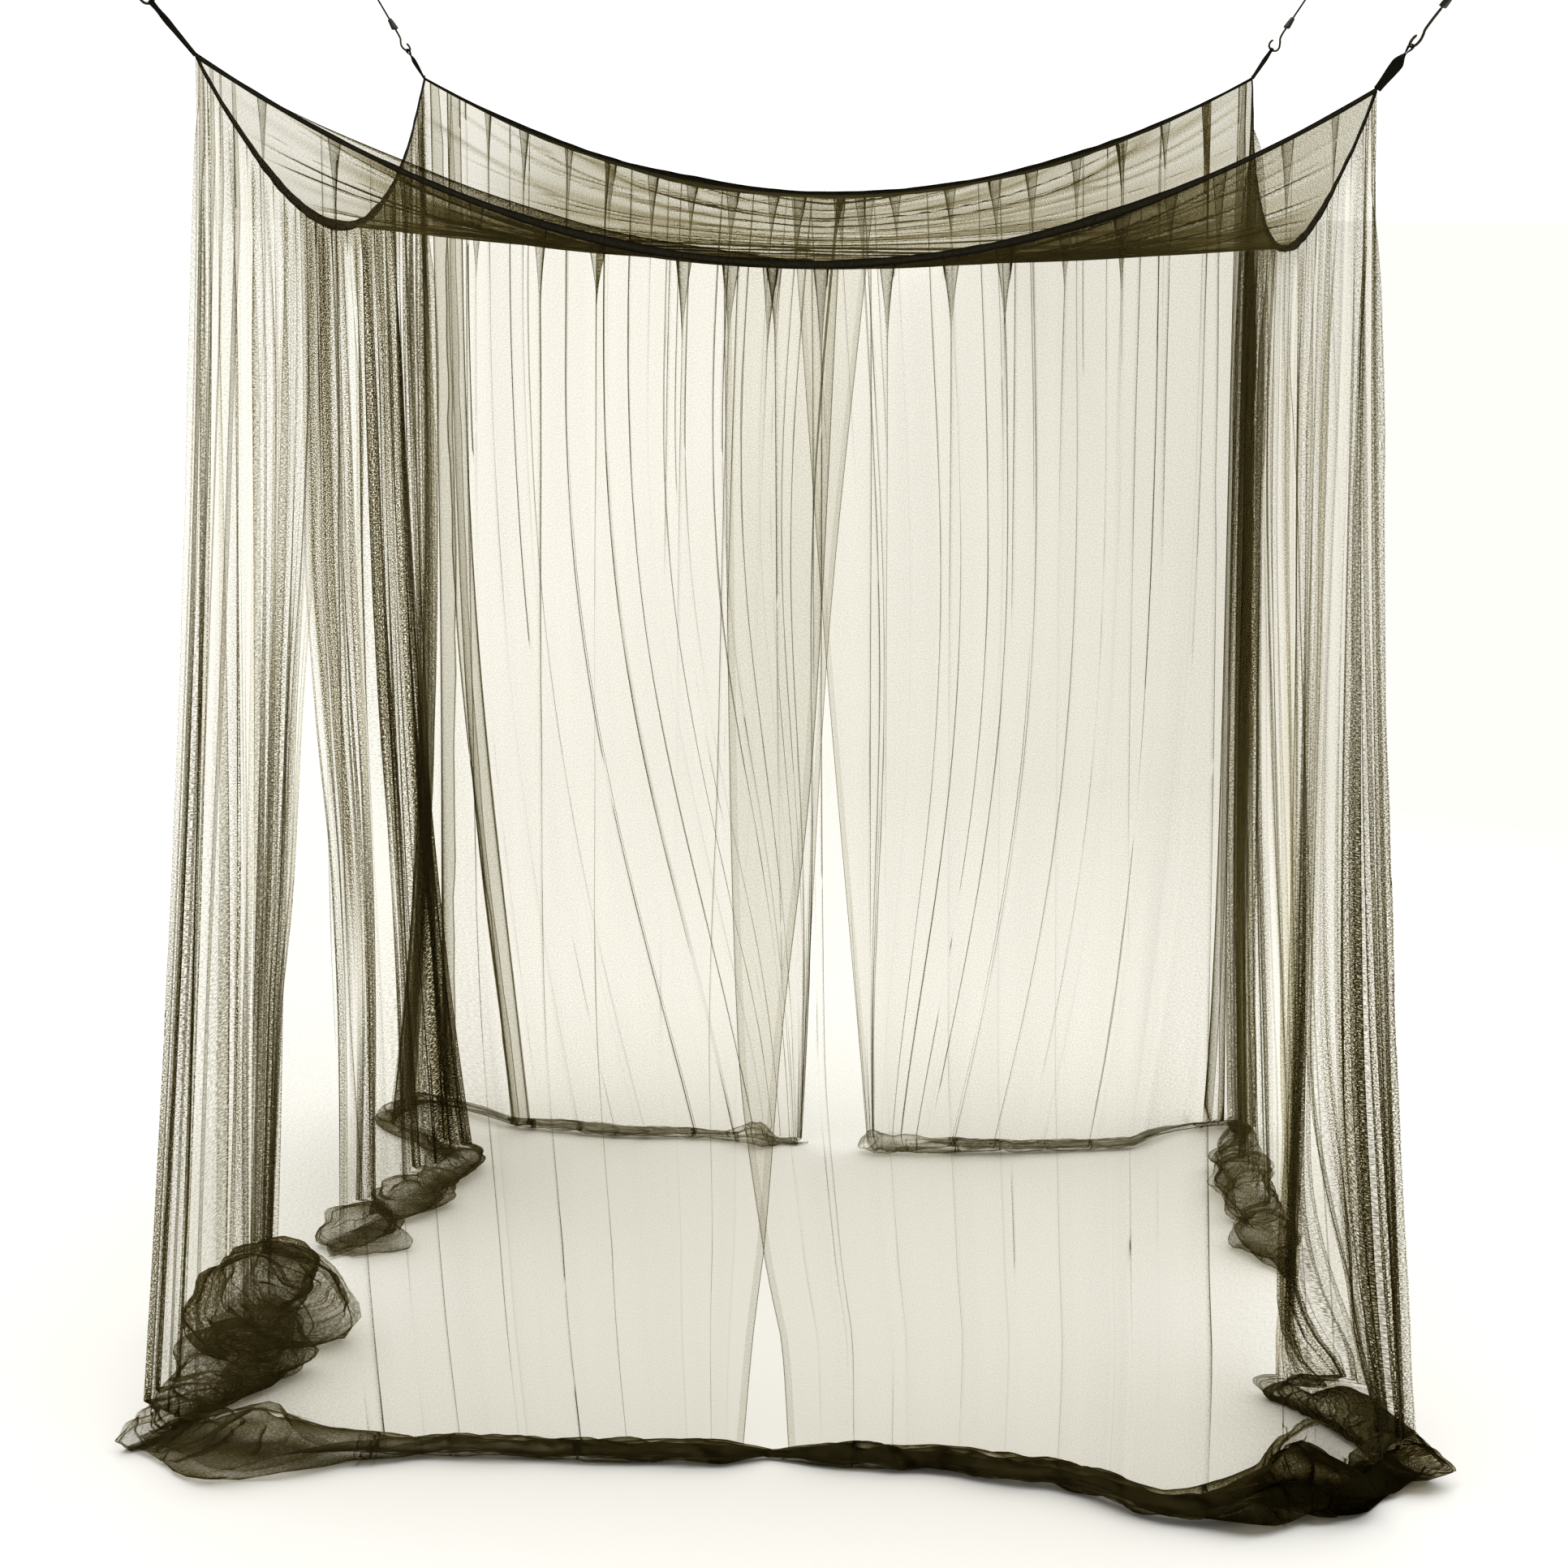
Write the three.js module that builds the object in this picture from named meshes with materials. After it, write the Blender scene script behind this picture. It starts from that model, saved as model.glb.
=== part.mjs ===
// Four-corner bed canopy mosquito net, hung by its corner cords, hem lying on the floor.
// Millimetres, +Z up, floor at z = 0, front towards -Y. The origin is on the floor under
// the middle of the footprint.

import * as THREE from 'three';

const { clamp, degToRad, lerp, smoothstep } = THREE.MathUtils;

// Cloth
const NET_THICK = 2;
const SEAT_GAP = 0.3;
const COLUMNS_PER_SIDE = 40; // two for each pleat: a crest and a valley
const OVERLAP_COLUMNS = 2; // each wall panel runs this far past the middle of a side
const ROOF_CELLS = 16;
const ROOF_INSET = 2.5; // roof edge to the middle of the tape
const ROOF_VALLEY_DROP = 33; // middle of the roof below the line joining the side lows
const PLEAT_TOP = 3.5; // half depth of a pleat where it is sewn under the tape
const PLEAT_FULL = 11; // half depth further down
const PLEAT_OPENS_AT = 0.3; // share of the height over which the pleats open
const CORNER_GATHER = 1.6; // pleats are this much deeper beside a corner
const CORNER_FAN = 0.15; // share of a side over which its pleats turn to face the corner
const FLARE_STARTS_AT = 0.35; // share of the height where the walls leave the plumb line
const FLARE_POWER = 1.6;
const LAP_TOP = 1.7; // overlapping panels stand this far off the middle line at the tape
const LAP_FULL = 7; // and this far below
const PLEAT_FADE_COLUMNS = 4; // pleats start over this many columns beside an overlap
const GATHER_COLUMNS = 4; // and deepen over this many beside a corner

// Binding tape along each roof edge
const TAPE_TALL = 16;
const TAPE_THICK = 3;
const TAPE_STOP = 5; // tape end to the corner point

// Corner hardware
const WEB_WIDTH = 15;
const WEB_PINCHED = 6; // width where the hook bunches it
const WEB_THICK = 1.6;
const WEB_LEG_GAP = 0.6;
const WEB_EYE_ROOM = 0.9; // legs to the hook's wire
const WEB_SECTIONS = 10; // along each leg
const WEB_TURN = 180; // twist from the corner to the hook, degrees
const WEB_NARROWS_AT = 0.6; // share of its length
const WEB_PARTS_AT = 0.7; // share of its length where the legs open for the hook
const WEB_EYE_STEP = 45; // degrees between sections over the hook
const WIRE_RADIUS = 1.6;
const BOW_RADIUS = 10; // middle of the wire
const BOW_STEP = 30; // degrees between the points of the bow
const BOW_CLEAR = 1.2; // wire to webbing, at the bottom of the bow
const CAP_LONG = 28;
const CAP_WIDE = 15;
const CAP_NARROW = 7;
const CAP_THICK = 8;
const CAP_LIP = 4; // straight part at its wide end
const CAP_BEVEL = 1;
const CORD_RADIUS = 2;
const CORD_LENGTH = 70;
const CORD_STEPS = 7;
const CORD_SIDES = 8;
const WIRE_SIDES = 6;
const HOOK_STEPS = 22;
const EYE_RADIUS = 11; // middle of the ring's wire
const EYE_WIRE = 2;
const EYE_STEPS = 12;
const CORD_PLAN_ANGLE = 35; // how far the cords turn from the front towards the side walls

// Roof corners, where each cord goes, and how the cloth lies on the floor below them
// foot: wall meets the floor this far outside the roof edge; hem: cloth runs on from there;
// rise: height of its crumpled roll
const CORNERS = {
  front_left: { x: -975, y: -755, z: 2375, outX: -1, outY: -1, pull: 49, loop: 112, hook: 58,
    foot: 110, hem: 110, rise: 55 },
  front_right: { x: 938, y: -755, z: 2315, outX: 1, outY: -1, pull: 49, loop: 90, hook: 72,
    foot: 120, hem: 110, rise: 75 },
  back_right: { x: 900, y: 965, z: 2411, outX: 1, outY: 1, pull: 50, loop: 86, hook: 58,
    foot: 30, hem: 100, rise: 60 },
  back_left: { x: -932, y: 965, z: 2417, outX: -1, outY: 1, pull: 51, loop: 84, hook: 58,
    foot: 50, hem: 110, rise: 55 },
};

// Sides in walking order round the net, with the roof edge's lowest height and inward pull.
// parting: where the panel that ends on the side stops, and the next one starts, as shares
// of the side, from the tape (down 0) to the floor (down 1).
// floor: the cloth on the floor between the corners, named as in CORNERS.
const SIDES = [
  {
    name: 'front', from: 'front_left', to: 'front_right', low: 2039, drawn: 50, outX: 0, outY: -1,
    parting: [
      { down: 0, ends: 0.55, starts: 0.45 },
      { down: 0.4, ends: 0.53, starts: 0.456 },
      { down: 0.65, ends: 0.503, starts: 0.465 },
      { down: 0.84, ends: 0.483, starts: 0.485 },
      { down: 1, ends: 0.472, starts: 0.503 },
    ],
    floor: [
      { at: 0.065, foot: 150, hem: 150, rise: 60 },
      { at: 0.13, foot: 130, hem: 80, rise: 36 },
      { at: 0.375, foot: 130, hem: 85, rise: 34 },
      { at: 0.63, foot: 130, hem: 85, rise: 34 },
      { at: 0.79, foot: 160, hem: 110, rise: 45 },
      { at: 0.94, foot: 180, hem: 180, rise: 85 },
    ],
  },
  {
    name: 'right', from: 'front_right', to: 'back_right', low: 2058, drawn: 39, outX: 1, outY: 0,
    parting: [
      { down: 0, ends: 0.55, starts: 0.45 },
      { down: 0.3, ends: 0.46, starts: 0.47 },
      { down: 1, ends: 0.22, starts: 0.4 },
    ],
    floor: [
      { at: 0.1, foot: 100, hem: 120, rise: 75 },
      { at: 0.22, foot: 70, hem: 110, rise: 60 },
      { at: 0.4, foot: 60, hem: 120, rise: 70 },
      { at: 0.55, foot: -5, hem: 140, rise: 60 },
      { at: 0.8, foot: -20, hem: 130, rise: 70 },
    ],
  },
  {
    name: 'back', from: 'back_right', to: 'back_left', low: 2162, drawn: 50, outX: 0, outY: 1,
    parting: [
      { down: 0, ends: 0.55, starts: 0.45 },
      { down: 0.5, ends: 0.504, starts: 0.506 },
      { down: 1, ends: 0.448, starts: 0.534 },
    ],
    floor: [
      { at: 0.1, foot: -70, hem: 100, rise: 45 },
      { at: 0.31, foot: -170, hem: 110, rise: 40 },
      { at: 0.44, foot: -60, hem: 120, rise: 60 },
      { at: 0.53, foot: -140, hem: 120, rise: 55 },
      { at: 0.77, foot: -150, hem: 100, rise: 38 },
      { at: 0.93, foot: -50, hem: 100, rise: 45 },
    ],
  },
  {
    name: 'left', from: 'back_left', to: 'front_left', low: 2098, drawn: 32, outX: -1, outY: 0,
    parting: [
      { down: 0, ends: 0.55, starts: 0.45 },
      { down: 0.27, ends: 0.6, starts: 0.61 },
      { down: 1, ends: 0.6, starts: 0.8 },
    ],
    floor: [
      { at: 0.08, foot: 30, hem: 120, rise: 50 },
      { at: 0.24, foot: -100, hem: 150, rise: 60 },
      { at: 0.42, foot: -10, hem: 120, rise: 45 },
      { at: 0.5, foot: -70, hem: 130, rise: 65 },
      { at: 0.6, foot: 0, hem: 120, rise: 60 },
      { at: 0.8, foot: 0, hem: 160, rise: 80 },
      { at: 0.93, foot: 50, hem: 130, rise: 65 },
    ],
  },
];

// Rows of a wall panel: down the wall, then round the crumpled hem.
// along and lift are shares of the hem's run on the floor and of its rise.
const WALL_ROWS = [0, 0.08, 0.25, 0.45, 0.65, 0.83, 0.95];
const HEM_ROWS = [
  { along: 0.04, lift: 0.12 },
  { along: 0.3, lift: 0 },
  { along: 0.8, lift: 0 },
  { along: 1, lift: 0.5 },
  { along: 0.78, lift: 1 },
  { along: 0.42, lift: 0.72 },
];

// Wire of a hook either side of its bow, in shares of the bow's radius from its middle
const HOOK_TIP = [
  { across: -0.75, up: 0.95 },
  { across: -0.98, up: 0.45 },
];
const HOOK_SHANK = [
  { across: 0.98, up: 0.3 },
  { across: 0.6, up: 1.2 },
  { across: 0.15, up: 2 },
];

const net = new THREE.MeshStandardMaterial({ color: 0x4a4422, roughness: 0.9, metalness: 0 });
const tape = new THREE.MeshStandardMaterial({ color: 0x0d0b06, roughness: 0.85, metalness: 0 });
const webbing = new THREE.MeshStandardMaterial({ color: 0x100e08, roughness: 0.8, metalness: 0 });
const wire = new THREE.MeshStandardMaterial({ color: 0x6a6044, roughness: 0.35, metalness: 1 });
const plastic = new THREE.MeshStandardMaterial({ color: 0x1a1810, roughness: 0.5, metalness: 0 });
const cordYarn = new THREE.MeshStandardMaterial({ color: 0x12100a, roughness: 0.85, metalness: 0 });

const canopy = new THREE.Group();

function addMesh(name, geometry, material) {
  const mesh = new THREE.Mesh(geometry, material);
  mesh.name = name;
  canopy.add(mesh);
  return mesh;
}

// Value of one column of a table at a share along it, eased between its rows
function tableValue(rows, key, column, share) {
  const next = rows.findIndex((row) => row[key] >= share);
  if (next === 0) return rows[0][column];
  if (next < 0) return rows[rows.length - 1][column];
  const low = rows[next - 1];
  const high = rows[next];
  return lerp(low[column], high[column], smoothstep(share, low[key], high[key]));
}

// Fixed unevenness from pleat to pleat, about 0.5 to 1.5
function uneven(index, phase) {
  return 1 + 0.3 * Math.sin(2.3 * index + phase) + 0.2 * Math.sin(0.71 * index + 2 * phase);
}

// Sides and roof edges

function floorRows(side) {
  return [{ at: 0, ...CORNERS[side.from] }, ...side.floor, { at: 1, ...CORNERS[side.to] }];
}

function edgePoint(side, u) {
  const a = CORNERS[side.from];
  const b = CORNERS[side.to];
  const slack = 4 * u * (1 - u);
  return new THREE.Vector3(
    lerp(a.x, b.x, u) - side.outX * side.drawn * slack,
    lerp(a.y, b.y, u) - side.outY * side.drawn * slack,
    lerp(a.z, b.z, u) - slack * ((a.z + b.z) / 2 - side.low),
  );
}

// Way out of the net at a point of a side. Beside a corner it turns towards the diagonal,
// but under the tape only the corner's own column does.
function outward(side, u, down) {
  const near = u < 0.5 ? side.from : side.to;
  const toCorner = Math.min(u, 1 - u);
  const fan = CORNER_FAN * smoothstep(down, 0, PLEAT_OPENS_AT);
  const square = fan > 0 ? smoothstep(toCorner, 0, fan) : Math.sign(toCorner);
  const turn = (1 - square) * Math.PI / 4;
  const across = new THREE.Vector2(side.outX, side.outY);
  const diagonal = new THREE.Vector2(CORNERS[near].outX, CORNERS[near].outY);
  const along = diagonal.sub(across);
  const way = across.multiplyScalar(Math.cos(turn)).addScaledVector(along, Math.sin(turn));
  return new THREE.Vector3(way.x, way.y, 0);
}

// Closed thin sheet from a grid of points on its middle surface

function sheetGeometry(grid, thick) {
  const rows = grid.length;
  const columns = grid[0].length;
  const count = rows * columns;
  const positions = new Float32Array(2 * count * 3);
  const across = new THREE.Vector3();
  const down = new THREE.Vector3();
  for (let j = 0; j < rows; j++) {
    for (let i = 0; i < columns; i++) {
      across.subVectors(grid[j][Math.min(i + 1, columns - 1)], grid[j][Math.max(i - 1, 0)]);
      down.subVectors(grid[Math.min(j + 1, rows - 1)][i], grid[Math.max(j - 1, 0)][i]);
      const normal = across.clone().cross(down).normalize().multiplyScalar(thick / 2);
      const spot = j * columns + i;
      grid[j][i].clone().add(normal).toArray(positions, spot * 3);
      grid[j][i].clone().sub(normal).toArray(positions, (count + spot) * 3);
    }
  }
  const index = [];
  const quad = (a, b, c, d) => index.push(a, b, c, a, c, d);
  for (let j = 0; j + 1 < rows; j++) {
    for (let i = 0; i + 1 < columns; i++) {
      const a = j * columns + i;
      quad(a, a + 1, a + columns + 1, a + columns);
      quad(count + a, count + a + columns, count + a + columns + 1, count + a + 1);
    }
  }
  for (let i = 0; i + 1 < columns; i++) {
    const bottom = (rows - 1) * columns + i;
    quad(i + 1, i, count + i, count + i + 1);
    quad(bottom, bottom + 1, count + bottom + 1, count + bottom);
  }
  for (let j = 0; j + 1 < rows; j++) {
    const left = j * columns;
    const right = left + columns - 1;
    quad(left, left + columns, count + left + columns, count + left);
    quad(right + columns, right, count + right, count + right + columns);
  }
  const geometry = new THREE.BufferGeometry();
  geometry.setAttribute('position', new THREE.BufferAttribute(positions, 3));
  geometry.setIndex(index);
  geometry.computeVertexNormals();
  return geometry;
}

// Roof: hung from its four edges, with a shallow valley from side to side

function roofPoint(u, w) {
  const [front, right, back, left] = SIDES;
  const f = edgePoint(front, u);
  const b = edgePoint(back, 1 - u);
  const l = edgePoint(left, 1 - w);
  const r = edgePoint(right, w);
  const corner = (key) => lerp(
    lerp(CORNERS.front_left[key], CORNERS.front_right[key], u),
    lerp(CORNERS.back_left[key], CORNERS.back_right[key], u),
    w,
  );
  const valley = lerp(left.low, right.low, u) - ROOF_VALLEY_DROP * 4 * u * (1 - u);
  return new THREE.Vector3(
    lerp(f.x, b.x, w) + lerp(l.x, r.x, u) - corner('x'),
    lerp(f.y, b.y, w) + lerp(l.y, r.y, u) - corner('y'),
    lerp(f.z, b.z, w) - 4 * w * (1 - w) * ((f.z + b.z) / 2 - valley),
  );
}

function roofGeometry() {
  const insetX = ROOF_INSET / (CORNERS.front_right.x - CORNERS.front_left.x);
  const insetY = ROOF_INSET / (CORNERS.back_left.y - CORNERS.front_left.y);
  const grid = [];
  for (let j = 0; j <= ROOF_CELLS; j++) {
    const w = lerp(1 - insetY, insetY, j / ROOF_CELLS);
    const row = [];
    for (let i = 0; i <= ROOF_CELLS; i++) {
      row.push(roofPoint(lerp(insetX, 1 - insetX, i / ROOF_CELLS), w));
    }
    grid.push(row);
  }
  return sheetGeometry(grid, NET_THICK);
}

// Wall panels: each hangs from the middle of one side, round a corner, to the middle of the next

function wallColumns() {
  const half = COLUMNS_PER_SIDE / 2 + OVERLAP_COLUMNS;
  return Array.from({ length: 2 * half + 1 }, (_, i) => i - half);
}

// One point of a panel: step counts columns from its corner, down runs from tape to floor
function panelSpot(before, after, step, down) {
  const half = COLUMNS_PER_SIDE / 2 + OVERLAP_COLUMNS;
  const side = step < 0 ? before : after;
  const stop = step < 0
    ? 1 - tableValue(before.parting, 'down', 'starts', down)
    : tableValue(after.parting, 'down', 'ends', down);
  const fromCorner = (Math.abs(step) / half) * stop;
  const u = step < 0 ? 1 - fromCorner : fromCorner;

  const fromEnd = half - Math.abs(step);
  const lapColumns = 2 * OVERLAP_COLUMNS;
  const pleated = smoothstep(fromEnd, lapColumns, lapColumns + PLEAT_FADE_COLUMNS);
  const opened = smoothstep(down, 0, PLEAT_OPENS_AT);
  const lap = (1 - pleated) * lerp(LAP_TOP, LAP_FULL, opened);
  const gather = lerp(CORNER_GATHER, 1, smoothstep(Math.abs(step), 0, GATHER_COLUMNS));
  const depth = lerp(PLEAT_TOP, PLEAT_FULL, opened);
  const sway = down > 0 ? uneven(step, side.low) : 1;
  const crest = step % 2 === 0 ? 1 : -1;
  const fold = crest * depth * gather * pleated * sway + (step < 0 ? lap : -lap);
  return { side, u, fold };
}

function panelGrid(before, after) {
  const steps = wallColumns();
  const grid = [];
  for (const down of WALL_ROWS) {
    grid.push(steps.map((step) => {
      const { side, u, fold } = panelSpot(before, after, step, down);
      const top = edgePoint(side, u);
      const drop = (top.z - TAPE_TALL / 2 - SEAT_GAP - NET_THICK) * down;
      const foot = tableValue(floorRows(side), 'at', 'foot', u);
      const flare = clamp((down - FLARE_STARTS_AT) / (1 - FLARE_STARTS_AT), 0, 1) ** FLARE_POWER;
      top.addScaledVector(outward(side, u, down), foot * flare + fold);
      top.z -= TAPE_TALL / 2 + SEAT_GAP + drop;
      return top;
    }));
  }
  for (const { along, lift } of HEM_ROWS) {
    grid.push(steps.map((step) => {
      const { side, u, fold } = panelSpot(before, after, step, 1);
      const rows = floorRows(side);
      const run = tableValue(rows, 'at', 'hem', u) * uneven(step, 1 + side.low) ** 0.5;
      const rise = tableValue(rows, 'at', 'rise', u) * uneven(step, 2 + side.low) ** 0.7;
      const spot = edgePoint(side, u);
      const reach = tableValue(rows, 'at', 'foot', u) + fold + along * run;
      spot.addScaledVector(outward(side, u, 1), reach);
      spot.z = NET_THICK / 2 + lift * rise;
      return spot;
    }));
  }
  return grid;
}

// Binding tape: an upright strip on each roof edge, ending short of the corners

function tapeGeometry(side) {
  const stopShare = TAPE_STOP / edgePoint(side, 0).distanceTo(edgePoint(side, 1));
  const grid = [1, -1].map((end) => {
    const row = [];
    for (let i = 0; i <= COLUMNS_PER_SIDE; i++) {
      const u = clamp(i / COLUMNS_PER_SIDE, stopShare, 1 - stopShare);
      row.push(edgePoint(side, u).add(new THREE.Vector3(0, 0, (end * TAPE_TALL) / 2)));
    }
    return row;
  });
  return sheetGeometry(grid, TAPE_THICK);
}

// Corner hardware, placed along the pull of its cord

function pullFrame(corner) {
  const plan = degToRad(CORD_PLAN_ANGLE);
  const climb = degToRad(corner.pull);
  const pull = new THREE.Vector3(
    corner.outX * Math.cos(plan) * Math.cos(climb),
    corner.outY * Math.sin(plan) * Math.cos(climb),
    Math.sin(climb),
  );
  const side = new THREE.Vector3(-pull.y, pull.x, 0).normalize();
  const face = new THREE.Vector3().crossVectors(side, pull);
  const place = new THREE.Matrix4().makeBasis(side, pull, face);
  return place.setPosition(corner.x, corner.y, corner.z);
}

// Webbing loop: two legs that twist together from the corner and open round the hook's wire
function loopGeometry(long) {
  const spread = (share) => lerp(
    (WEB_THICK + WEB_LEG_GAP) / 2,
    WIRE_RADIUS + WEB_THICK / 2 + WEB_EYE_ROOM,
    smoothstep(share, WEB_PARTS_AT, 1),
  );
  const eyeTurn = spread(1);
  const straight = long - eyeTurn - WEB_THICK / 2;
  const sections = [];
  const addSection = (share, offset, rise, tilt) => {
    const twist = degToRad(WEB_TURN * share);
    const flat = new THREE.Vector3(Math.cos(twist), 0, Math.sin(twist));
    const apart = new THREE.Vector3(-Math.sin(twist), 0, Math.cos(twist));
    const half = lerp(WEB_WIDTH, WEB_PINCHED, smoothstep(share, WEB_NARROWS_AT, 1)) / 2;
    const middle = apart.clone().multiplyScalar(offset);
    middle.y = rise;
    const skin = apart.clone().multiplyScalar(Math.cos(tilt) * WEB_THICK / 2);
    skin.y = Math.sin(tilt) * WEB_THICK / 2;
    sections.push([
      middle.clone().addScaledVector(flat, -half).add(skin),
      middle.clone().addScaledVector(flat, half).add(skin),
      middle.clone().addScaledVector(flat, half).sub(skin),
      middle.clone().addScaledVector(flat, -half).sub(skin),
    ]);
  };
  for (let k = 0; k <= WEB_SECTIONS; k++) {
    const share = k / WEB_SECTIONS;
    addSection(share, spread(share), straight * share, 0);
  }
  for (let angle = WEB_EYE_STEP; angle < 180; angle += WEB_EYE_STEP) {
    const turn = degToRad(angle);
    addSection(1, eyeTurn * Math.cos(turn), straight + eyeTurn * Math.sin(turn), turn);
  }
  for (let k = WEB_SECTIONS; k >= 0; k--) {
    const share = k / WEB_SECTIONS;
    addSection(share, -spread(share), straight * share, Math.PI);
  }
  const positions = sections.flat().flatMap((point) => point.toArray());
  const index = [0, 2, 1, 0, 3, 2];
  for (let k = 0; k + 1 < sections.length; k++) {
    const firstLeg = k < sections.length / 2;
    for (let side = 0; side < 4; side++) {
      const a = 4 * k + side;
      const b = 4 * k + ((side + 1) % 4);
      // The wide faces of both legs bend along the same diagonal, so the twisted skins stay apart
      const crossed = (side === 0) === firstLeg;
      if (crossed) index.push(a, b, a + 4, b, b + 4, a + 4);
      else index.push(a, b + 4, a + 4, a, b, b + 4);
    }
  }
  const last = 4 * (sections.length - 1);
  index.push(last, last + 1, last + 2, last, last + 2, last + 3);
  const geometry = new THREE.BufferGeometry();
  geometry.setAttribute('position', new THREE.Float32BufferAttribute(positions, 3));
  geometry.setIndex(index);
  geometry.computeVertexNormals();
  return geometry;
}

function roundSection(radius, sides) {
  const points = [];
  for (let k = 0; k < sides; k++) {
    const angle = (2 * Math.PI * k) / sides;
    points.push(new THREE.Vector2(radius * Math.cos(angle), radius * Math.sin(angle)));
  }
  return new THREE.Shape(points);
}

function rodAlong(curve, radius, sides, steps) {
  return new THREE.ExtrudeGeometry(roundSection(radius, sides), {
    steps, extrudePath: curve, bevelEnabled: false,
  });
}

// Wire hook: open bow round the webbing, shank drawn back to the line of the cord
function hookGeometry(bowFoot, top) {
  const middle = bowFoot + BOW_RADIUS;
  const path = [];
  const addPoint = (across, up) => path.push(new THREE.Vector3(across, middle + up, 0));
  const addShares = ({ across, up }) => addPoint(across * BOW_RADIUS, up * BOW_RADIUS);
  HOOK_TIP.forEach(addShares);
  for (let angle = 180; angle < 360; angle += BOW_STEP) {
    const turn = degToRad(angle);
    addPoint(BOW_RADIUS * Math.cos(turn), BOW_RADIUS * Math.sin(turn));
  }
  HOOK_SHANK.forEach(addShares);
  const shankTop = top - middle;
  addPoint(0, lerp(2 * BOW_RADIUS, shankTop, 0.5));
  addPoint(0, shankTop);
  return rodAlong(new THREE.CatmullRomCurve3(path), WIRE_RADIUS, WIRE_SIDES, HOOK_STEPS);
}

// Wedge cap: wide where the shank goes in, narrow where the cord comes out
function capGeometry(foot) {
  const low = foot + CAP_BEVEL;
  const high = foot + CAP_LONG - CAP_BEVEL;
  const wide = CAP_WIDE / 2 - CAP_BEVEL;
  const narrow = CAP_NARROW / 2 - CAP_BEVEL;
  const shape = new THREE.Shape();
  shape.moveTo(-wide, low);
  shape.lineTo(wide, low);
  shape.lineTo(wide, low + CAP_LIP);
  shape.lineTo(narrow, high);
  shape.lineTo(-narrow, high);
  shape.lineTo(-wide, low + CAP_LIP);
  const depth = CAP_THICK - 2 * CAP_BEVEL;
  const geometry = new THREE.ExtrudeGeometry(shape, {
    depth, bevelEnabled: true, bevelThickness: CAP_BEVEL, bevelSize: CAP_BEVEL, bevelSegments: 1,
  });
  return geometry.translate(0, 0, -depth / 2);
}

function cordGeometry(from, to) {
  const line = new THREE.LineCurve3(new THREE.Vector3(0, from, 0), new THREE.Vector3(0, to, 0));
  return rodAlong(line, CORD_RADIUS, CORD_SIDES, CORD_STEPS);
}

// Ring at the cord's end, its hole level and square to the pull
function eyeGeometry(foot) {
  const ring = new THREE.TorusGeometry(EYE_RADIUS, EYE_WIRE, WIRE_SIDES, EYE_STEPS);
  ring.rotateY(Math.PI / 2);
  return ring.translate(0, foot + EYE_RADIUS + EYE_WIRE, 0);
}

function addHanger(name, corner) {
  const place = pullFrame(corner);
  const addPlaced = (kind, geometry, material) => {
    addMesh(`${kind}_${name}`, geometry, material).applyMatrix4(place);
  };
  const bowFoot = corner.loop - WEB_THICK - BOW_CLEAR - WIRE_RADIUS;
  const capFoot = corner.loop + corner.hook;
  const cordFoot = capFoot + CAP_LONG + SEAT_GAP;
  addPlaced('loop', loopGeometry(corner.loop), webbing);
  addPlaced('hook', hookGeometry(bowFoot, capFoot - SEAT_GAP), wire);
  addPlaced('cap', capGeometry(capFoot), plastic);
  addPlaced('cord', cordGeometry(cordFoot, cordFoot + CORD_LENGTH), cordYarn);
  addPlaced('eye', eyeGeometry(cordFoot + CORD_LENGTH + SEAT_GAP), wire);
}

addMesh('roof_net', roofGeometry(), net);
SIDES.forEach((side, index) => {
  const next = SIDES[(index + 1) % SIDES.length];
  addMesh(`wall_${side.to}`, sheetGeometry(panelGrid(side, next), NET_THICK), net);
  addMesh(`tape_${side.name}`, tapeGeometry(side), tape);
});
for (const [name, corner] of Object.entries(CORNERS)) {
  addHanger(name, corner);
}

export default canopy;
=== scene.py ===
# Hanging mosquito net bed canopy: sheer net, binding tapes, corner straps, hooks and cords
# Metres, floor at z = 0, front towards -Y
import math
import bmesh
import bpy
import numpy as np
from mathutils import Matrix, Vector


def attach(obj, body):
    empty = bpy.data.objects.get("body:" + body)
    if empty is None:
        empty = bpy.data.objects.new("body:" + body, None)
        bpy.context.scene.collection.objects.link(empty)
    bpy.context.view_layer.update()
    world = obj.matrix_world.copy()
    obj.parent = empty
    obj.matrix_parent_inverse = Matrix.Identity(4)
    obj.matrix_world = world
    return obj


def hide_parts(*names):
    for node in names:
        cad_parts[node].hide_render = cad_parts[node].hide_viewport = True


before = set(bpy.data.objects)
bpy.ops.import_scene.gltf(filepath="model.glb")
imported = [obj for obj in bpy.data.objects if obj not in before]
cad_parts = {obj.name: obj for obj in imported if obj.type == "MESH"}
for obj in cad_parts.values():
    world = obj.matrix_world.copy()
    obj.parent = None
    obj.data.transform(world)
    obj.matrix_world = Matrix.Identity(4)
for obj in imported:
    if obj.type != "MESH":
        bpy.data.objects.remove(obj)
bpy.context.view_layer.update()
scene = bpy.context.scene
print("frame loaded:", len(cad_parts), "nodes")


# Camera, at the height of the roof's lowest edge and a little right of the middle

cameraSet = {"place": (0.307, -5.405, 2.12), "turnLeft": 3.9, "lookDown": 11.5, "lens": 64.3, "sensor": 36.0,
             "far": 3000.0}


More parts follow.
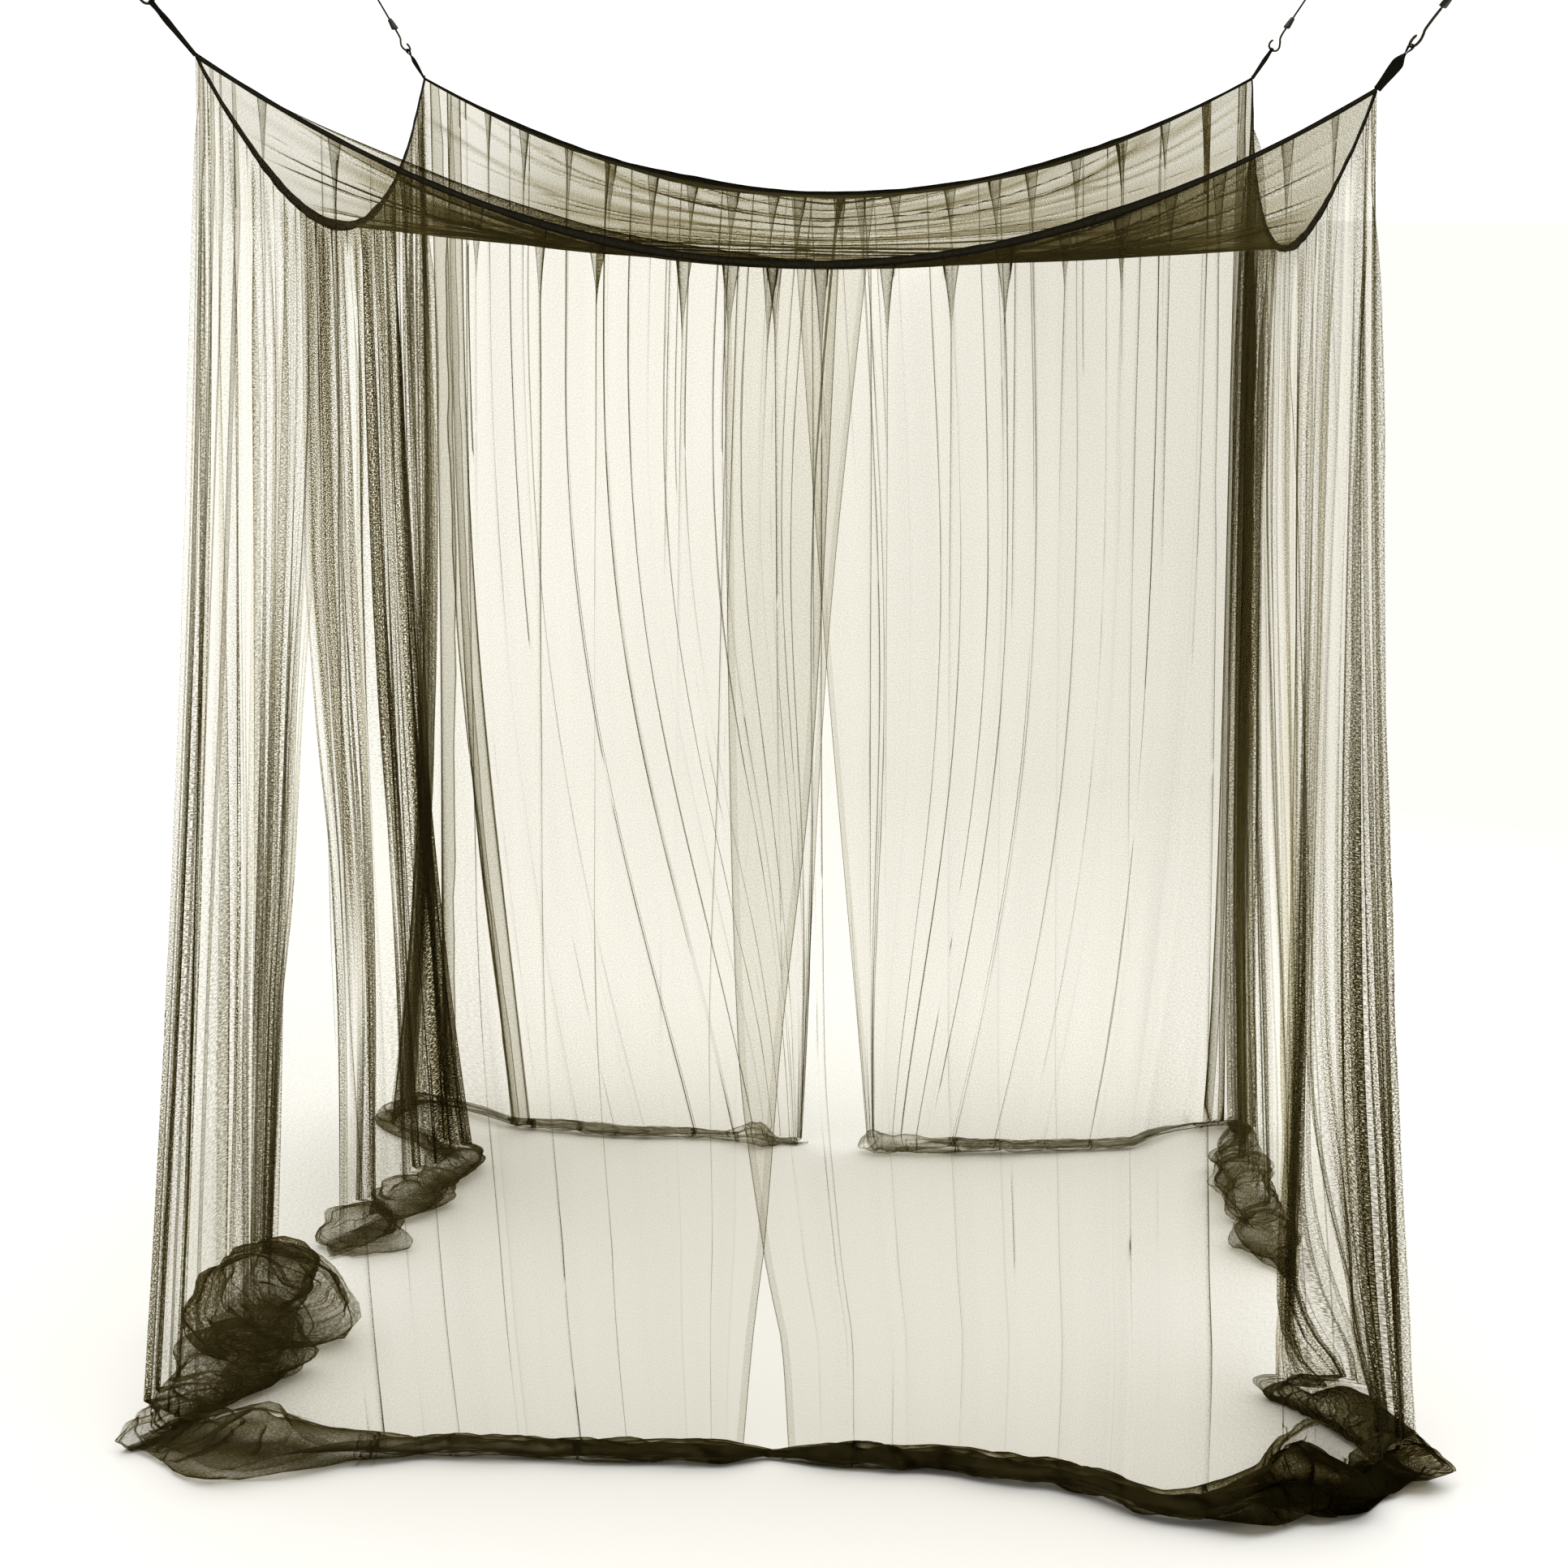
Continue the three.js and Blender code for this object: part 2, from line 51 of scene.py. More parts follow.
def addCamera():
    data = bpy.data.cameras.new("camera")
    data.lens = cameraSet["lens"]
    data.sensor_width = cameraSet["sensor"]
    data.clip_end = cameraSet["far"]
    camera = bpy.data.objects.new("camera", data)
    scene.collection.objects.link(camera)
    camera.location = cameraSet["place"]
    tilt = math.radians(90 - cameraSet["lookDown"])
    camera.rotation_euler = (tilt, 0, math.radians(cameraSet["turnLeft"]))
    scene.camera = camera


addCamera()


# Small helpers

def smooth(value, low, high):
    t = np.clip((np.asarray(value, float) - low) / (high - low), 0, 1)
    return t * t * (3 - 2 * t)


def mix(a, b, share):
    return a + (b - a) * share


def between(rows, column, share):
    # a table's first column, the asked one, the row after a share and how far on the way to it the share is
    at, value = (np.array([row[k] for row in rows], float) for k in (0, column))
    k = np.clip(np.searchsorted(at, share), 1, len(at) - 1)
    return at, value, k, (share - at[k - 1]) / (at[k] - at[k - 1])


def eased(rows, column, share):
    # a table's value, level at each row
    at, value, k, t = between(rows, column, share)
    return mix(value[k - 1], value[k], smooth(t, 0, 1))


def flowing(rows, column, share):
    # a table's value, in one smooth line through the rows without overshoot
    at, value, k, t = between(rows, column, share)
    slope = np.diff(value) / np.diff(at)
    before, after = slope[:-1], slope[1:]
    both = np.where(before * after > 0, 2 * before * after / (before + after + 1e-12), 0)
    slope = np.concatenate([slope[:1], both, slope[-1:]])
    ends = mix(value[k - 1], value[k], smooth(t, 0, 1))
    return ends + (at[k] - at[k - 1]) * t * (1 - t) * ((1 - t) * slope[k - 1] - t * slope[k])


driftCells = 128


def drift(x, y, seed):
    # smooth fixed unevenness from -1 to 1, one cell to a unit of x and y
    table = np.random.RandomState(seed).uniform(-1, 1, (driftCells, driftCells))
    x, y = np.broadcast_arrays(np.asarray(x, float), np.asarray(y, float))
    i, j = np.floor(x).astype(int), np.floor(y).astype(int)
    s, t = smooth(x - i, 0, 1), smooth(y - j, 0, 1)
    cell = lambda di, dj: table[(i + di) % driftCells, (j + dj) % driftCells]
    return mix(mix(cell(0, 0), cell(1, 0), s), mix(cell(0, 1), cell(1, 1), s), t)


def thinLines(x, y, seed, sharp):
    # 1 along the lines where the unevenness changes sign, falling to 0 between them
    return np.exp(-(drift(x, y, seed) / sharp) ** 2)


def lengthAlong(path):
    return np.concatenate([[0], np.cumsum(np.linalg.norm(np.diff(path, axis=0), axis=1))])


def layOut(across, along):
    # flat lay of a grid, from its columns and rows
    return np.stack(np.broadcast_arrays(across, along), -1)


def squared(value, power):
    # a circle's swing, pushed out towards a square's
    return np.sign(value) * np.abs(value) ** power


def meshFrom(bm, name):
    mesh = bpy.data.meshes.new(name)
    bm.to_mesh(mesh)
    bm.free()
    return mesh


def shadeSmooth(mesh):
    mesh.polygons.foreach_set("use_smooth", [True] * len(mesh.polygons))


def gridMesh(name, points, lay, **marks):
    # a grid bent to the given points, with its flat lay as the UV map and marks as attributes
    rows, columns = points.shape[:2]
    bm = bmesh.new()
    bmesh.ops.create_grid(bm, x_segments=columns - 1, y_segments=rows - 1, size=0.5)
    mesh = meshFrom(bm, name)
    spot = np.empty(3 * len(mesh.vertices))
    mesh.vertices.foreach_get("co", spot)
    spot = spot.reshape(-1, 3) + 0.5
    i = np.rint(spot[:, 0] * (columns - 1)).astype(int)
    j = np.rint(spot[:, 1] * (rows - 1)).astype(int)
    mesh.vertices.foreach_set("co", points[j, i].astype(np.float32).ravel())
    loopVerts = np.empty(len(mesh.loops), np.int32)
    mesh.loops.foreach_get("vertex_index", loopVerts)
    flat = mesh.uv_layers.new(name="flatLay")
    flat.data.foreach_set("uv", lay[j, i][loopVerts].astype(np.float32).ravel())
    for mark, values in marks.items():
        layer = mesh.attributes.new(mark, "FLOAT", "POINT")
        layer.data.foreach_set("value", values[j, i].astype(np.float32).ravel())
    shadeSmooth(mesh)
    mesh.update()
    return mesh


def rolledMesh(name, points, lay):
    # a grid rolled into a tube, with its seam joined and its ends shut
    mesh = gridMesh(name, points, lay)
    bm = bmesh.new()
    bm.from_mesh(mesh)
    bmesh.ops.remove_doubles(bm, verts=bm.verts, dist=1e-6)
    bmesh.ops.holes_fill(bm, edges=bm.edges, sides=0)
    bmesh.ops.recalc_face_normals(bm, faces=bm.faces)
    bm.to_mesh(mesh)
    bm.free()
    return mesh


def throughPoints(points, count):
    # an even smooth path through the given points
    points = np.asarray(points, float)
    padded = np.vstack([2 * points[0] - points[1], points, 2 * points[-1] - points[-2]])
    t = np.linspace(0, 1, 12, endpoint=False)[:, None]
    path = [0.5 * (2 * b + (c - a) * t + (2 * a - 5 * b + 4 * c - d) * t ** 2
                   + (3 * b - a - 3 * c + d) * t ** 3)
            for a, b, c, d in zip(padded, padded[1:], padded[2:], padded[3:])]
    path = np.vstack([*path, points[-1:]])
    long = lengthAlong(path)
    even = np.linspace(0, long[-1], count)
    return np.stack([np.interp(even, long, path[:, k]) for k in range(path.shape[1])], -1)


def linkPiece(mesh, material):
    mesh.materials.append(material)
    piece = bpy.data.objects.new(mesh.name, mesh)
    scene.collection.objects.link(piece)
    return piece


def addPiece(mesh, material, node):
    # every piece stands for one CAD node and rides on the only body
    piece = linkPiece(mesh, material)
    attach(piece, "root")
    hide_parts(node)
    return piece


sharpFrom = 35  # degrees between faces


def addHardPiece(name, bm, material, node):
    mesh = meshFrom(bm, name)
    shadeSmooth(mesh)
    mesh.set_sharp_from_angle(angle=math.radians(sharpFrom))
    return addPiece(mesh, material, node)


# Node helpers

def newMaterial(name):
    material = bpy.data.materials.new(name)
    material.use_nodes = True
    material.node_tree.nodes.clear()
    return material, material.node_tree


def mathNode(tree, operation, a, b=None):
    node = tree.nodes.new("ShaderNodeMath")
    node.operation = operation
    for socket, source in zip(node.inputs, (a, b)):
        if isinstance(source, (int, float)):
            socket.default_value = source
        elif source is not None:
            tree.links.new(source, socket)
    return node.outputs[0]


def layNode(tree):
    lay = tree.nodes.new("ShaderNodeUVMap")
    lay.uv_map = "flatLay"
    return lay.outputs["UV"]


def markNode(tree, name):
    mark = tree.nodes.new("ShaderNodeAttribute")
    mark.attribute_name = name
    return mark.outputs["Fac"]


def partsNode(tree, vector):
    parts = tree.nodes.new("ShaderNodeSeparateXYZ")
    tree.links.new(vector, parts.inputs[0])
    return parts.outputs["X"], parts.outputs["Y"]


def placeNode(tree):
    return tree.nodes.new("ShaderNodeTexCoord").outputs["Object"]


def noiseNode(tree, scale, detail=2.0):
    noise = tree.nodes.new("ShaderNodeTexNoise")
    noise.inputs["Scale"].default_value = scale
    noise.inputs["Detail"].default_value = detail
    tree.links.new(placeNode(tree), noise.inputs["Vector"])
    return noise.outputs["Fac"]


def rampNode(tree, share, *stops):
    ramp = tree.nodes.new("ShaderNodeValToRGB")
    for element, (place, colour) in zip(ramp.color_ramp.elements, stops):
        element.position = place
        element.color = colour
    tree.links.new(share, ramp.inputs[0])
    return ramp.outputs["Color"]


def rangeNode(tree, share, low, high):
    return mathNode(tree, "ADD", mathNode(tree, "MULTIPLY", share, high - low), low)


def waveNode(tree, along, pitch):
    # from 0 to 1 and back in each pitch
    turned = mathNode(tree, "MULTIPLY", along, 2 * math.pi / pitch)
    return rangeNode(tree, mathNode(tree, "SINE", turned), 0.5, 1.0)


def bumpNode(tree, height, distance):
    bump = tree.nodes.new("ShaderNodeBump")
    bump.inputs["Distance"].default_value = distance
    tree.links.new(height, bump.inputs["Height"])
    return bump.outputs["Normal"]


def surface(tree, look, share, worn, height):
    # colours by share, roughness by wear and relief by height
    body = tree.nodes.new("ShaderNodeBsdfPrincipled")
    tree.links.new(rampNode(tree, share, *look["colours"]), body.inputs["Base Color"])
    tree.links.new(rangeNode(tree, worn, *look["rough"]), body.inputs["Roughness"])
    tree.links.new(bumpNode(tree, height, look["bump"]), body.inputs["Normal"])
    for name, value in look["fixed"].items():
        body.inputs[name].default_value = value
    out = tree.nodes.new("ShaderNodeOutputMaterial")
    tree.links.new(body.outputs[0], out.inputs["Surface"])


# Small parts' finishes. colours: low and high in the weave or patches; rough: from worn to fresh

def makeBraid(name, look):
    # strands crossing at a slant round the cord
    material, tree = newMaterial(name)
    around, along = partsNode(tree, layNode(tree))
    lift = mathNode(tree, "DIVIDE", along, look["pitch"])
    turned = mathNode(tree, "MULTIPLY", around, look["strands"])
    one = waveNode(tree, mathNode(tree, "ADD", turned, lift), 1.0)
    two = waveNode(tree, mathNode(tree, "SUBTRACT", turned, lift), 1.0)
    weave = mathNode(tree, "MULTIPLY", one, two)
    worn = noiseNode(tree, look["worn"])
    surface(tree, look, mathNode(tree, "MULTIPLY", weave, worn), worn, weave)
    return material


def makeWoven(name, look):
    # ribs along the strip crossed by the weft, with two rows of stitching where asked
    material, tree = newMaterial(name)
    across, along = partsNode(tree, layNode(tree))
    ribs = waveNode(tree, across, look["rib"])
    weft = waveNode(tree, along, look["weft"])
    weave = mathNode(tree, "MULTIPLY", ribs, rangeNode(tree, weft, look["weftLow"], 1.0))
    worn = noiseNode(tree, look["worn"], 3.0)
    share = mathNode(tree, "MULTIPLY", weave, worn)
    if "stitch" in look:
        dash, seam = (mathNode(tree, "GREATER_THAN", waveNode(tree, way, pitch), high)
                      for way, (pitch, high) in ((along, look["stitch"]), (across, look["seam"])))
        sewn = mathNode(tree, "MULTIPLY", dash, seam)
        share = mathNode(tree, "MAXIMUM", share, mathNode(tree, "MULTIPLY", sewn, look["threadPale"]))
        weave = mathNode(tree, "ADD", weave, sewn)
    if "streak" in look:
        # paler along the middle of each face
        moved = mathNode(tree, "ADD", across, 0.25 * look["streak"])
        paleMiddle = mathNode(tree, "POWER", waveNode(tree, moved, look["streak"]), look["streakThin"])
        paleMiddle = mathNode(tree, "MULTIPLY", paleMiddle, worn)
        share = mathNode(tree, "ADD", mathNode(tree, "MULTIPLY", share, look["underStreak"]), paleMiddle)
    surface(tree, look, share, worn, weave)
    return material


def makeRubbed(name, look):
    # patches, worn or rubbed, over a fine grain
    material, tree = newMaterial(name)
    patches = noiseNode(tree, *look["patches"])
    surface(tree, look, patches, patches, noiseNode(tree, *look["grain"]))
    return material


cordLook = {"pitch": 0.006, "strands": 4, "worn": 700, "bump": 0.0004, "rough": (0.7, 0.95),
            "colours": ((0, (0.004, 0.0034, 0.0016, 1)), (0.5, (0.022, 0.019, 0.011, 1))),
            "fixed": {"Specular IOR Level": 0.1}}
webLook = {"rib": 0.0016, "weft": 0.0022, "weftLow": 0.4, "worn": 350, "bump": 0.0003, "rough": (0.75, 1.0),
           "colours": ((0, (0.003, 0.0025, 0.001, 1)), (0.75, (0.014, 0.012, 0.006, 1))),
           "fixed": {"Specular IOR Level": 0.08}}
# plating dulled in patches, with fine drawing marks
wireLook = {"patches": (260, 3.0), "grain": (4000, 1.0), "bump": 0.00005, "rough": (0.53, 0.28),
            "colours": ((0.3, (0.01, 0.0085, 0.005, 1)), (0.7, (0.05, 0.043, 0.028, 1))),
            "fixed": {"Metallic": 1.0}}
# satin moulding with paler rubbed spots
capLook = {"patches": (320, 4.0), "grain": (3500, 1.0), "bump": 0.00008, "rough": (0.62, 0.4),
           "colours": ((0.35, (0.004, 0.0034, 0.002, 1)), (0.75, (0.018, 0.015, 0.009, 1))),
           "fixed": {"Specular IOR Level": 0.25}}
cordMaterial = makeBraid("braidedCord", cordLook)
webMaterial = makeWoven("cornerWebbing", webLook)
wireMaterial = makeRubbed("platedWire", wireLook)
capMaterial = makeRubbed("mouldedCap", capLook)
print("small finishes ready")


# The net's four corners: the top point, the way out, the cord's slope in degrees, the strap's and hook's
# length, the strap's width at its foot and where it is widest, how it turns from its foot to the hook, and
# how the hook is turned and to which side it opens

corners = {
    "front_left": {"at": (-0.975, -0.755, 2.375), "out": (-1, -1), "pull": 49, "loop": 0.112, "hook": 0.058,
                   "web": (0.008, 0.011), "twist": (60, 130), "hookTurn": -50, "opens": 1},
    "front_right": {"at": (0.938, -0.755, 2.315), "out": (1, -1), "pull": 49, "loop": 0.09, "hook": 0.072,
                    "web": (0.0125, 0.0195), "twist": (50, 185), "hookTurn": 5, "opens": 1},
    "back_right": {"at": (0.9, 0.965, 2.411), "out": (1, 1), "pull": 50, "loop": 0.086, "hook": 0.058,
                   "web": (0.0075, 0.0105), "twist": (165, 118), "hookTurn": -62, "opens": -1},
    "back_left": {"at": (-0.932, 0.965, 2.417), "out": (-1, 1), "pull": 51, "loop": 0.084, "hook": 0.058,
                  "web": (0.0045, 0.0095), "twist": (35, 180), "hookTurn": 0, "opens": 1},
}


# Hangers: at each corner a webbing strap, a wire hook, its cap, the cord and the ring on the cord's end

hangerSet = {
    "plan": 35,  # degrees from the front towards the side walls
    "seat": 0.0003, "sections": 60, "around": 16, "legRows": 49,
    "wire": 0.0023, "wireAround": 12, "wireDome": 0.04, "bow": 0.0115, "bowClear": 0.0012,
    "cord": 0.07, "cordThick": 0.004, "braidDeep": 0.05, "ring": 0.011, "ringWire": 0.002, "ringSteps": 40,
    "webPinched": 0.007, "webThick": 0.0016, "legGap": 0.0006, "eyeRoom": 0.0009,
    "widestAt": 0.58, "turnsAt": 0.45, "partsAt": 0.84,
}


def pullFrame(corner):
    # axes at a corner: across the pull, along it and square to both
    plan, climb = math.radians(hangerSet["plan"]), math.radians(corner["pull"])
    outX, outY = corner["out"]
    flat = math.cos(climb)
    pull = Vector((outX * math.cos(plan) * flat, outY * math.sin(plan) * flat, math.sin(climb)))
    across = Vector((-pull.y, pull.x, 0)).normalized()
    place = Matrix((across, pull, across.cross(pull))).transposed().to_4x4()
    place.translation = corner["at"]
    return place


def hangerHeights(corner):
    # distances from the corner along the pull
    capFoot = corner["loop"] + corner["hook"]
    cordFoot = capFoot + capSet["long"] + hangerSet["seat"]
    cordEnd = cordFoot + hangerSet["cord"]
    bowFoot = corner["loop"] - hangerSet["webThick"] - hangerSet["bowClear"] - hangerSet["wire"]
    return {"bow": bowFoot + hangerSet["bow"], "capFoot": capFoot, "cordFoot": cordFoot, "cordEnd": cordEnd,
            "ring": cordEnd + hangerSet["seat"] + hangerSet["ring"] + hangerSet["ringWire"]}


def placed(points, place):
    points = np.asarray(points, float)
    return points @ np.array(place.to_3x3()).T + np.array(place.translation)


def tubeMesh(name, path, radii, place, around):
    # a tube on a path that lies in the plane of the hook
    ahead = np.gradient(path, axis=0)
    ahead /= np.linalg.norm(ahead, axis=1)[:, None]
    normal = np.array((0.0, 0.0, 1.0))
    beside = np.cross(normal, ahead)
    turn = np.linspace(0, 2 * math.pi, around + 1)
    ring = np.cos(turn)[None, :, None] * beside[:, None, :] + np.sin(turn)[None, :, None] * normal
    points = path[:, None, :] + radii[..., None] * ring
    lay = layOut(turn[None, :] / (2 * math.pi), lengthAlong(path)[:, None])
    return rolledMesh(name, placed(points, place), lay)


def addCord(name, corner):
    place, at = pullFrame(corner), hangerHeights(corner)
    count, around = hangerSet["sections"] + 1, hangerSet["around"]
    along = np.linspace(at["cordFoot"], at["cordEnd"], count)
    path = np.stack([np.zeros(count), along, np.zeros(count)], -1)
    turn = np.linspace(0, 2 * math.pi, around + 1)[None, :]
    lift = (along[:, None] - at["cordFoot"]) * 2 * math.pi / cordLook["pitch"]
    braid = np.cos(cordLook["strands"] * turn) * np.cos(lift)
    radii = 0.5 * hangerSet["cordThick"] * (1 + hangerSet["braidDeep"] * braid)
    mesh = tubeMesh("hanging_cord_" + name, path, radii, place, around)
    route = [tuple(point) for point in placed(path[::4], place)]
    return addPiece(mesh, cordMaterial, "cord_" + name), route


def addRing(name, corner):
    place, at = pullFrame(corner), hangerHeights(corner)
    bm = bmesh.new()
    bmesh.ops.create_circle(bm, segments=hangerSet["wireAround"], radius=hangerSet["ringWire"], cap_ends=False)
    bmesh.ops.rotate(bm, verts=bm.verts, matrix=Matrix.Rotation(math.pi / 2, 3, "X"))
    bmesh.ops.translate(bm, verts=bm.verts, vec=(0, 0, hangerSet["ring"]))
    bmesh.ops.spin(bm, geom=bm.edges[:], angle=2 * math.pi, steps=hangerSet["ringSteps"], axis=(1, 0, 0),
                   cent=(0, 0, 0), use_merge=True)
    bmesh.ops.remove_doubles(bm, verts=bm.verts, dist=1e-6)
    bmesh.ops.recalc_face_normals(bm, faces=bm.faces)
    bmesh.ops.translate(bm, verts=bm.verts, vec=(0, at["ring"], 0))
    bmesh.ops.transform(bm, verts=bm.verts, matrix=place)
    return addHardPiece("hanging_ring_" + name, bm, wireMaterial, "eye_" + name)


def addHook(name, corner):
    place, at = pullFrame(corner), hangerHeights(corner)
    # the tip, the bow and the shank in radii of the bow
    tip = [(-0.75, 0.95), (-0.98, 0.45)]
    turn = np.radians(np.arange(180, 360, 20))
    shank = [(0.98, 0.3), (0.6, 1.2), (0.15, 2.0)]
    bend = np.array([*tip, *np.stack([np.cos(turn), np.sin(turn)], -1), *shank]) * hangerSet["bow"]
    top = at["capFoot"] - hangerSet["seat"] - at["bow"]
    bend = np.vstack([bend, [(0, (2 * hangerSet["bow"] + top) / 2), (0, top)]])
    path = throughPoints(bend, hangerSet["sections"])
    path = np.stack([path[:, 0] * corner["opens"], path[:, 1] + at["bow"], np.zeros(len(path))], -1)
    # full thickness with domed ends
    share = np.linspace(0, 1, len(path))
    near = np.clip(np.minimum(share, 1 - share) / hangerSet["wireDome"], 0, 1)
    radii = hangerSet["wire"] * np.sqrt(np.clip(1 - (1 - near) ** 2, 0.02, 1))
    place = place @ Matrix.Rotation(math.radians(-corner["hookTurn"]), 4, "Y")
    mesh = tubeMesh("wire_hook_" + name, path, radii[:, None], place, hangerSet["wireAround"])
    return addPiece(mesh, wireMaterial, "hook_" + name)


capSet = {"long": 0.028, "wide": 0.015, "narrow": 0.007, "thick": 0.008, "lip": 0.004, "bevel": 0.001,
          "grip": 0.0019, "grips": 4, "gripTall": 0.0004}


def addCap(name, corner):
    # wedge with raised grips, wide where the shank goes in
    place, at = pullFrame(corner), hangerHeights(corner)
    long, wide, narrow, thick, lip = (capSet[key] for key in ("long", "wide", "narrow", "thick", "lip"))
    bm = bmesh.new()
    bmesh.ops.create_cube(bm, size=1)
    bmesh.ops.scale(bm, verts=bm.verts, vec=(wide, long, thick))
    bmesh.ops.translate(bm, verts=bm.verts, vec=(0, long / 2, 0))
    for k in range(2 * capSet["grips"] + 1):
        bmesh.ops.bisect_plane(bm, geom=bm.verts[:] + bm.edges[:] + bm.faces[:],
                               plane_co=(0, lip + capSet["grip"] * k, 0), plane_no=(0, 1, 0))
    for vert in bm.verts:
        vert.co.x *= mix(1, narrow / wide, max(vert.co.y - lip, 0) / (long - lip))
    sharp = [edge for edge in bm.edges if edge.calc_face_angle(0) > 0.9]
    bmesh.ops.bevel(bm, geom=sharp, offset=capSet["bevel"], offset_type="OFFSET", segments=3, profile=0.5,
                    affect="EDGES", material=-1)
    bm.normal_update()
    strip = lambda face: (face.calc_center_median().y - lip) / capSet["grip"]
    raised = [face for face in bm.faces if abs(face.normal.z) > 0.9 and face.calc_area() > 1e-6
              and 0 < strip(face) < 2 * capSet["grips"] and int(strip(face)) % 2 == 1]
    bmesh.ops.inset_individual(bm, faces=raised, thickness=capSet["gripTall"], depth=capSet["gripTall"])
    bmesh.ops.translate(bm, verts=bm.verts, vec=(0, at["capFoot"], 0))
    bmesh.ops.transform(bm, verts=bm.verts, matrix=place)
    return addHardPiece("cord_cap_" + name, bm, capMaterial, "cap_" + name)


def addStrap(name, corner):
    # two legs twisted together, parted round the hook's wire
    web, rows = hangerSet, hangerSet["legRows"]
    closed = (web["webThick"] + web["legGap"]) / 2
    parted = web["wire"] + web["webThick"] / 2 + web["eyeRoom"]
    spread = lambda share: mix(closed, parted, smooth(share, web["partsAt"], 1))
    eyeTurn = float(spread(1.0))
    straight = corner["loop"] - eyeTurn - web["webThick"] / 2
    leg = np.linspace(0, 1, rows)
    over = np.radians(np.arange(15, 180, 15))
    share = np.concatenate([leg, np.ones(len(over)), leg[::-1]])
    offset = np.concatenate([spread(leg), eyeTurn * np.cos(over), -spread(leg)[::-1]])
    rise = straight * share
    rise[rows:rows + len(over)] += eyeTurn * np.sin(over)
    tilt = np.concatenate([np.zeros(rows), over, np.full(rows, math.pi)])
    twist = np.radians(mix(*corner["twist"], smooth(share, web["turnsAt"], 1)))
    flat = np.stack([np.cos(twist), np.zeros_like(twist), np.sin(twist)], -1)
    apart = np.stack([-np.sin(twist), np.zeros_like(twist), np.cos(twist)], -1)
    half = 0.5 * mix(*corner["web"], smooth(share, 0, web["widestAt"]))
    half = mix(half, 0.5 * web["webPinched"], smooth(share, web["widestAt"], 1))
    up = np.array((0, 1, 0))
    middle = apart * offset[:, None] + up * rise[:, None]
    skin = apart * np.cos(tilt)[:, None] + up * np.sin(tilt)[:, None]
    turn = np.linspace(0, 2 * math.pi, web["around"] + 1)
    across = squared(np.cos(turn), 0.5)[None, :, None] * flat[:, None, :] * half[:, None, None]
    thick = squared(np.sin(turn), 0.5)[None, :, None] * skin[:, None, :] * web["webThick"] / 2
    points = middle[:, None, :] + across + thick
    lay = layOut(np.cos(turn)[None, :] * half[:, None], lengthAlong(middle)[:, None])
    mesh = rolledMesh("corner_strap_" + name, placed(points, pullFrame(corner)), lay)
    return addPiece(mesh, webMaterial, "loop_" + name)


for name, corner in corners.items():
    cord, route = addCord(name, corner)
    ring = addRing(name, corner)
print("cords and rings ready")

for name, corner in corners.items():
    addStrap(name, corner)
    addHook(name, corner)
    addCap(name, corner)
print("straps, hooks and caps ready")


# Sides in walking order: the tape's lowest height, how far it is drawn in, how the wall leans out on its way
# down (a power), the tape's width at its ends and middle, and two tables.
# parting: from tape (0) to floor (1), where one panel ends and the next starts.
# floor: how the cloth lies along the side. foot: how far out it lands; wide, tall: size of the heap;
# mess: 0 a rolled rope beyond the foot, 1 loose folds about it; plies: thicknesses of cloth together

partingColumns = ("down", "ends", "starts")
floorColumns = ("at", "foot", "wide", "tall", "mess", "plies")

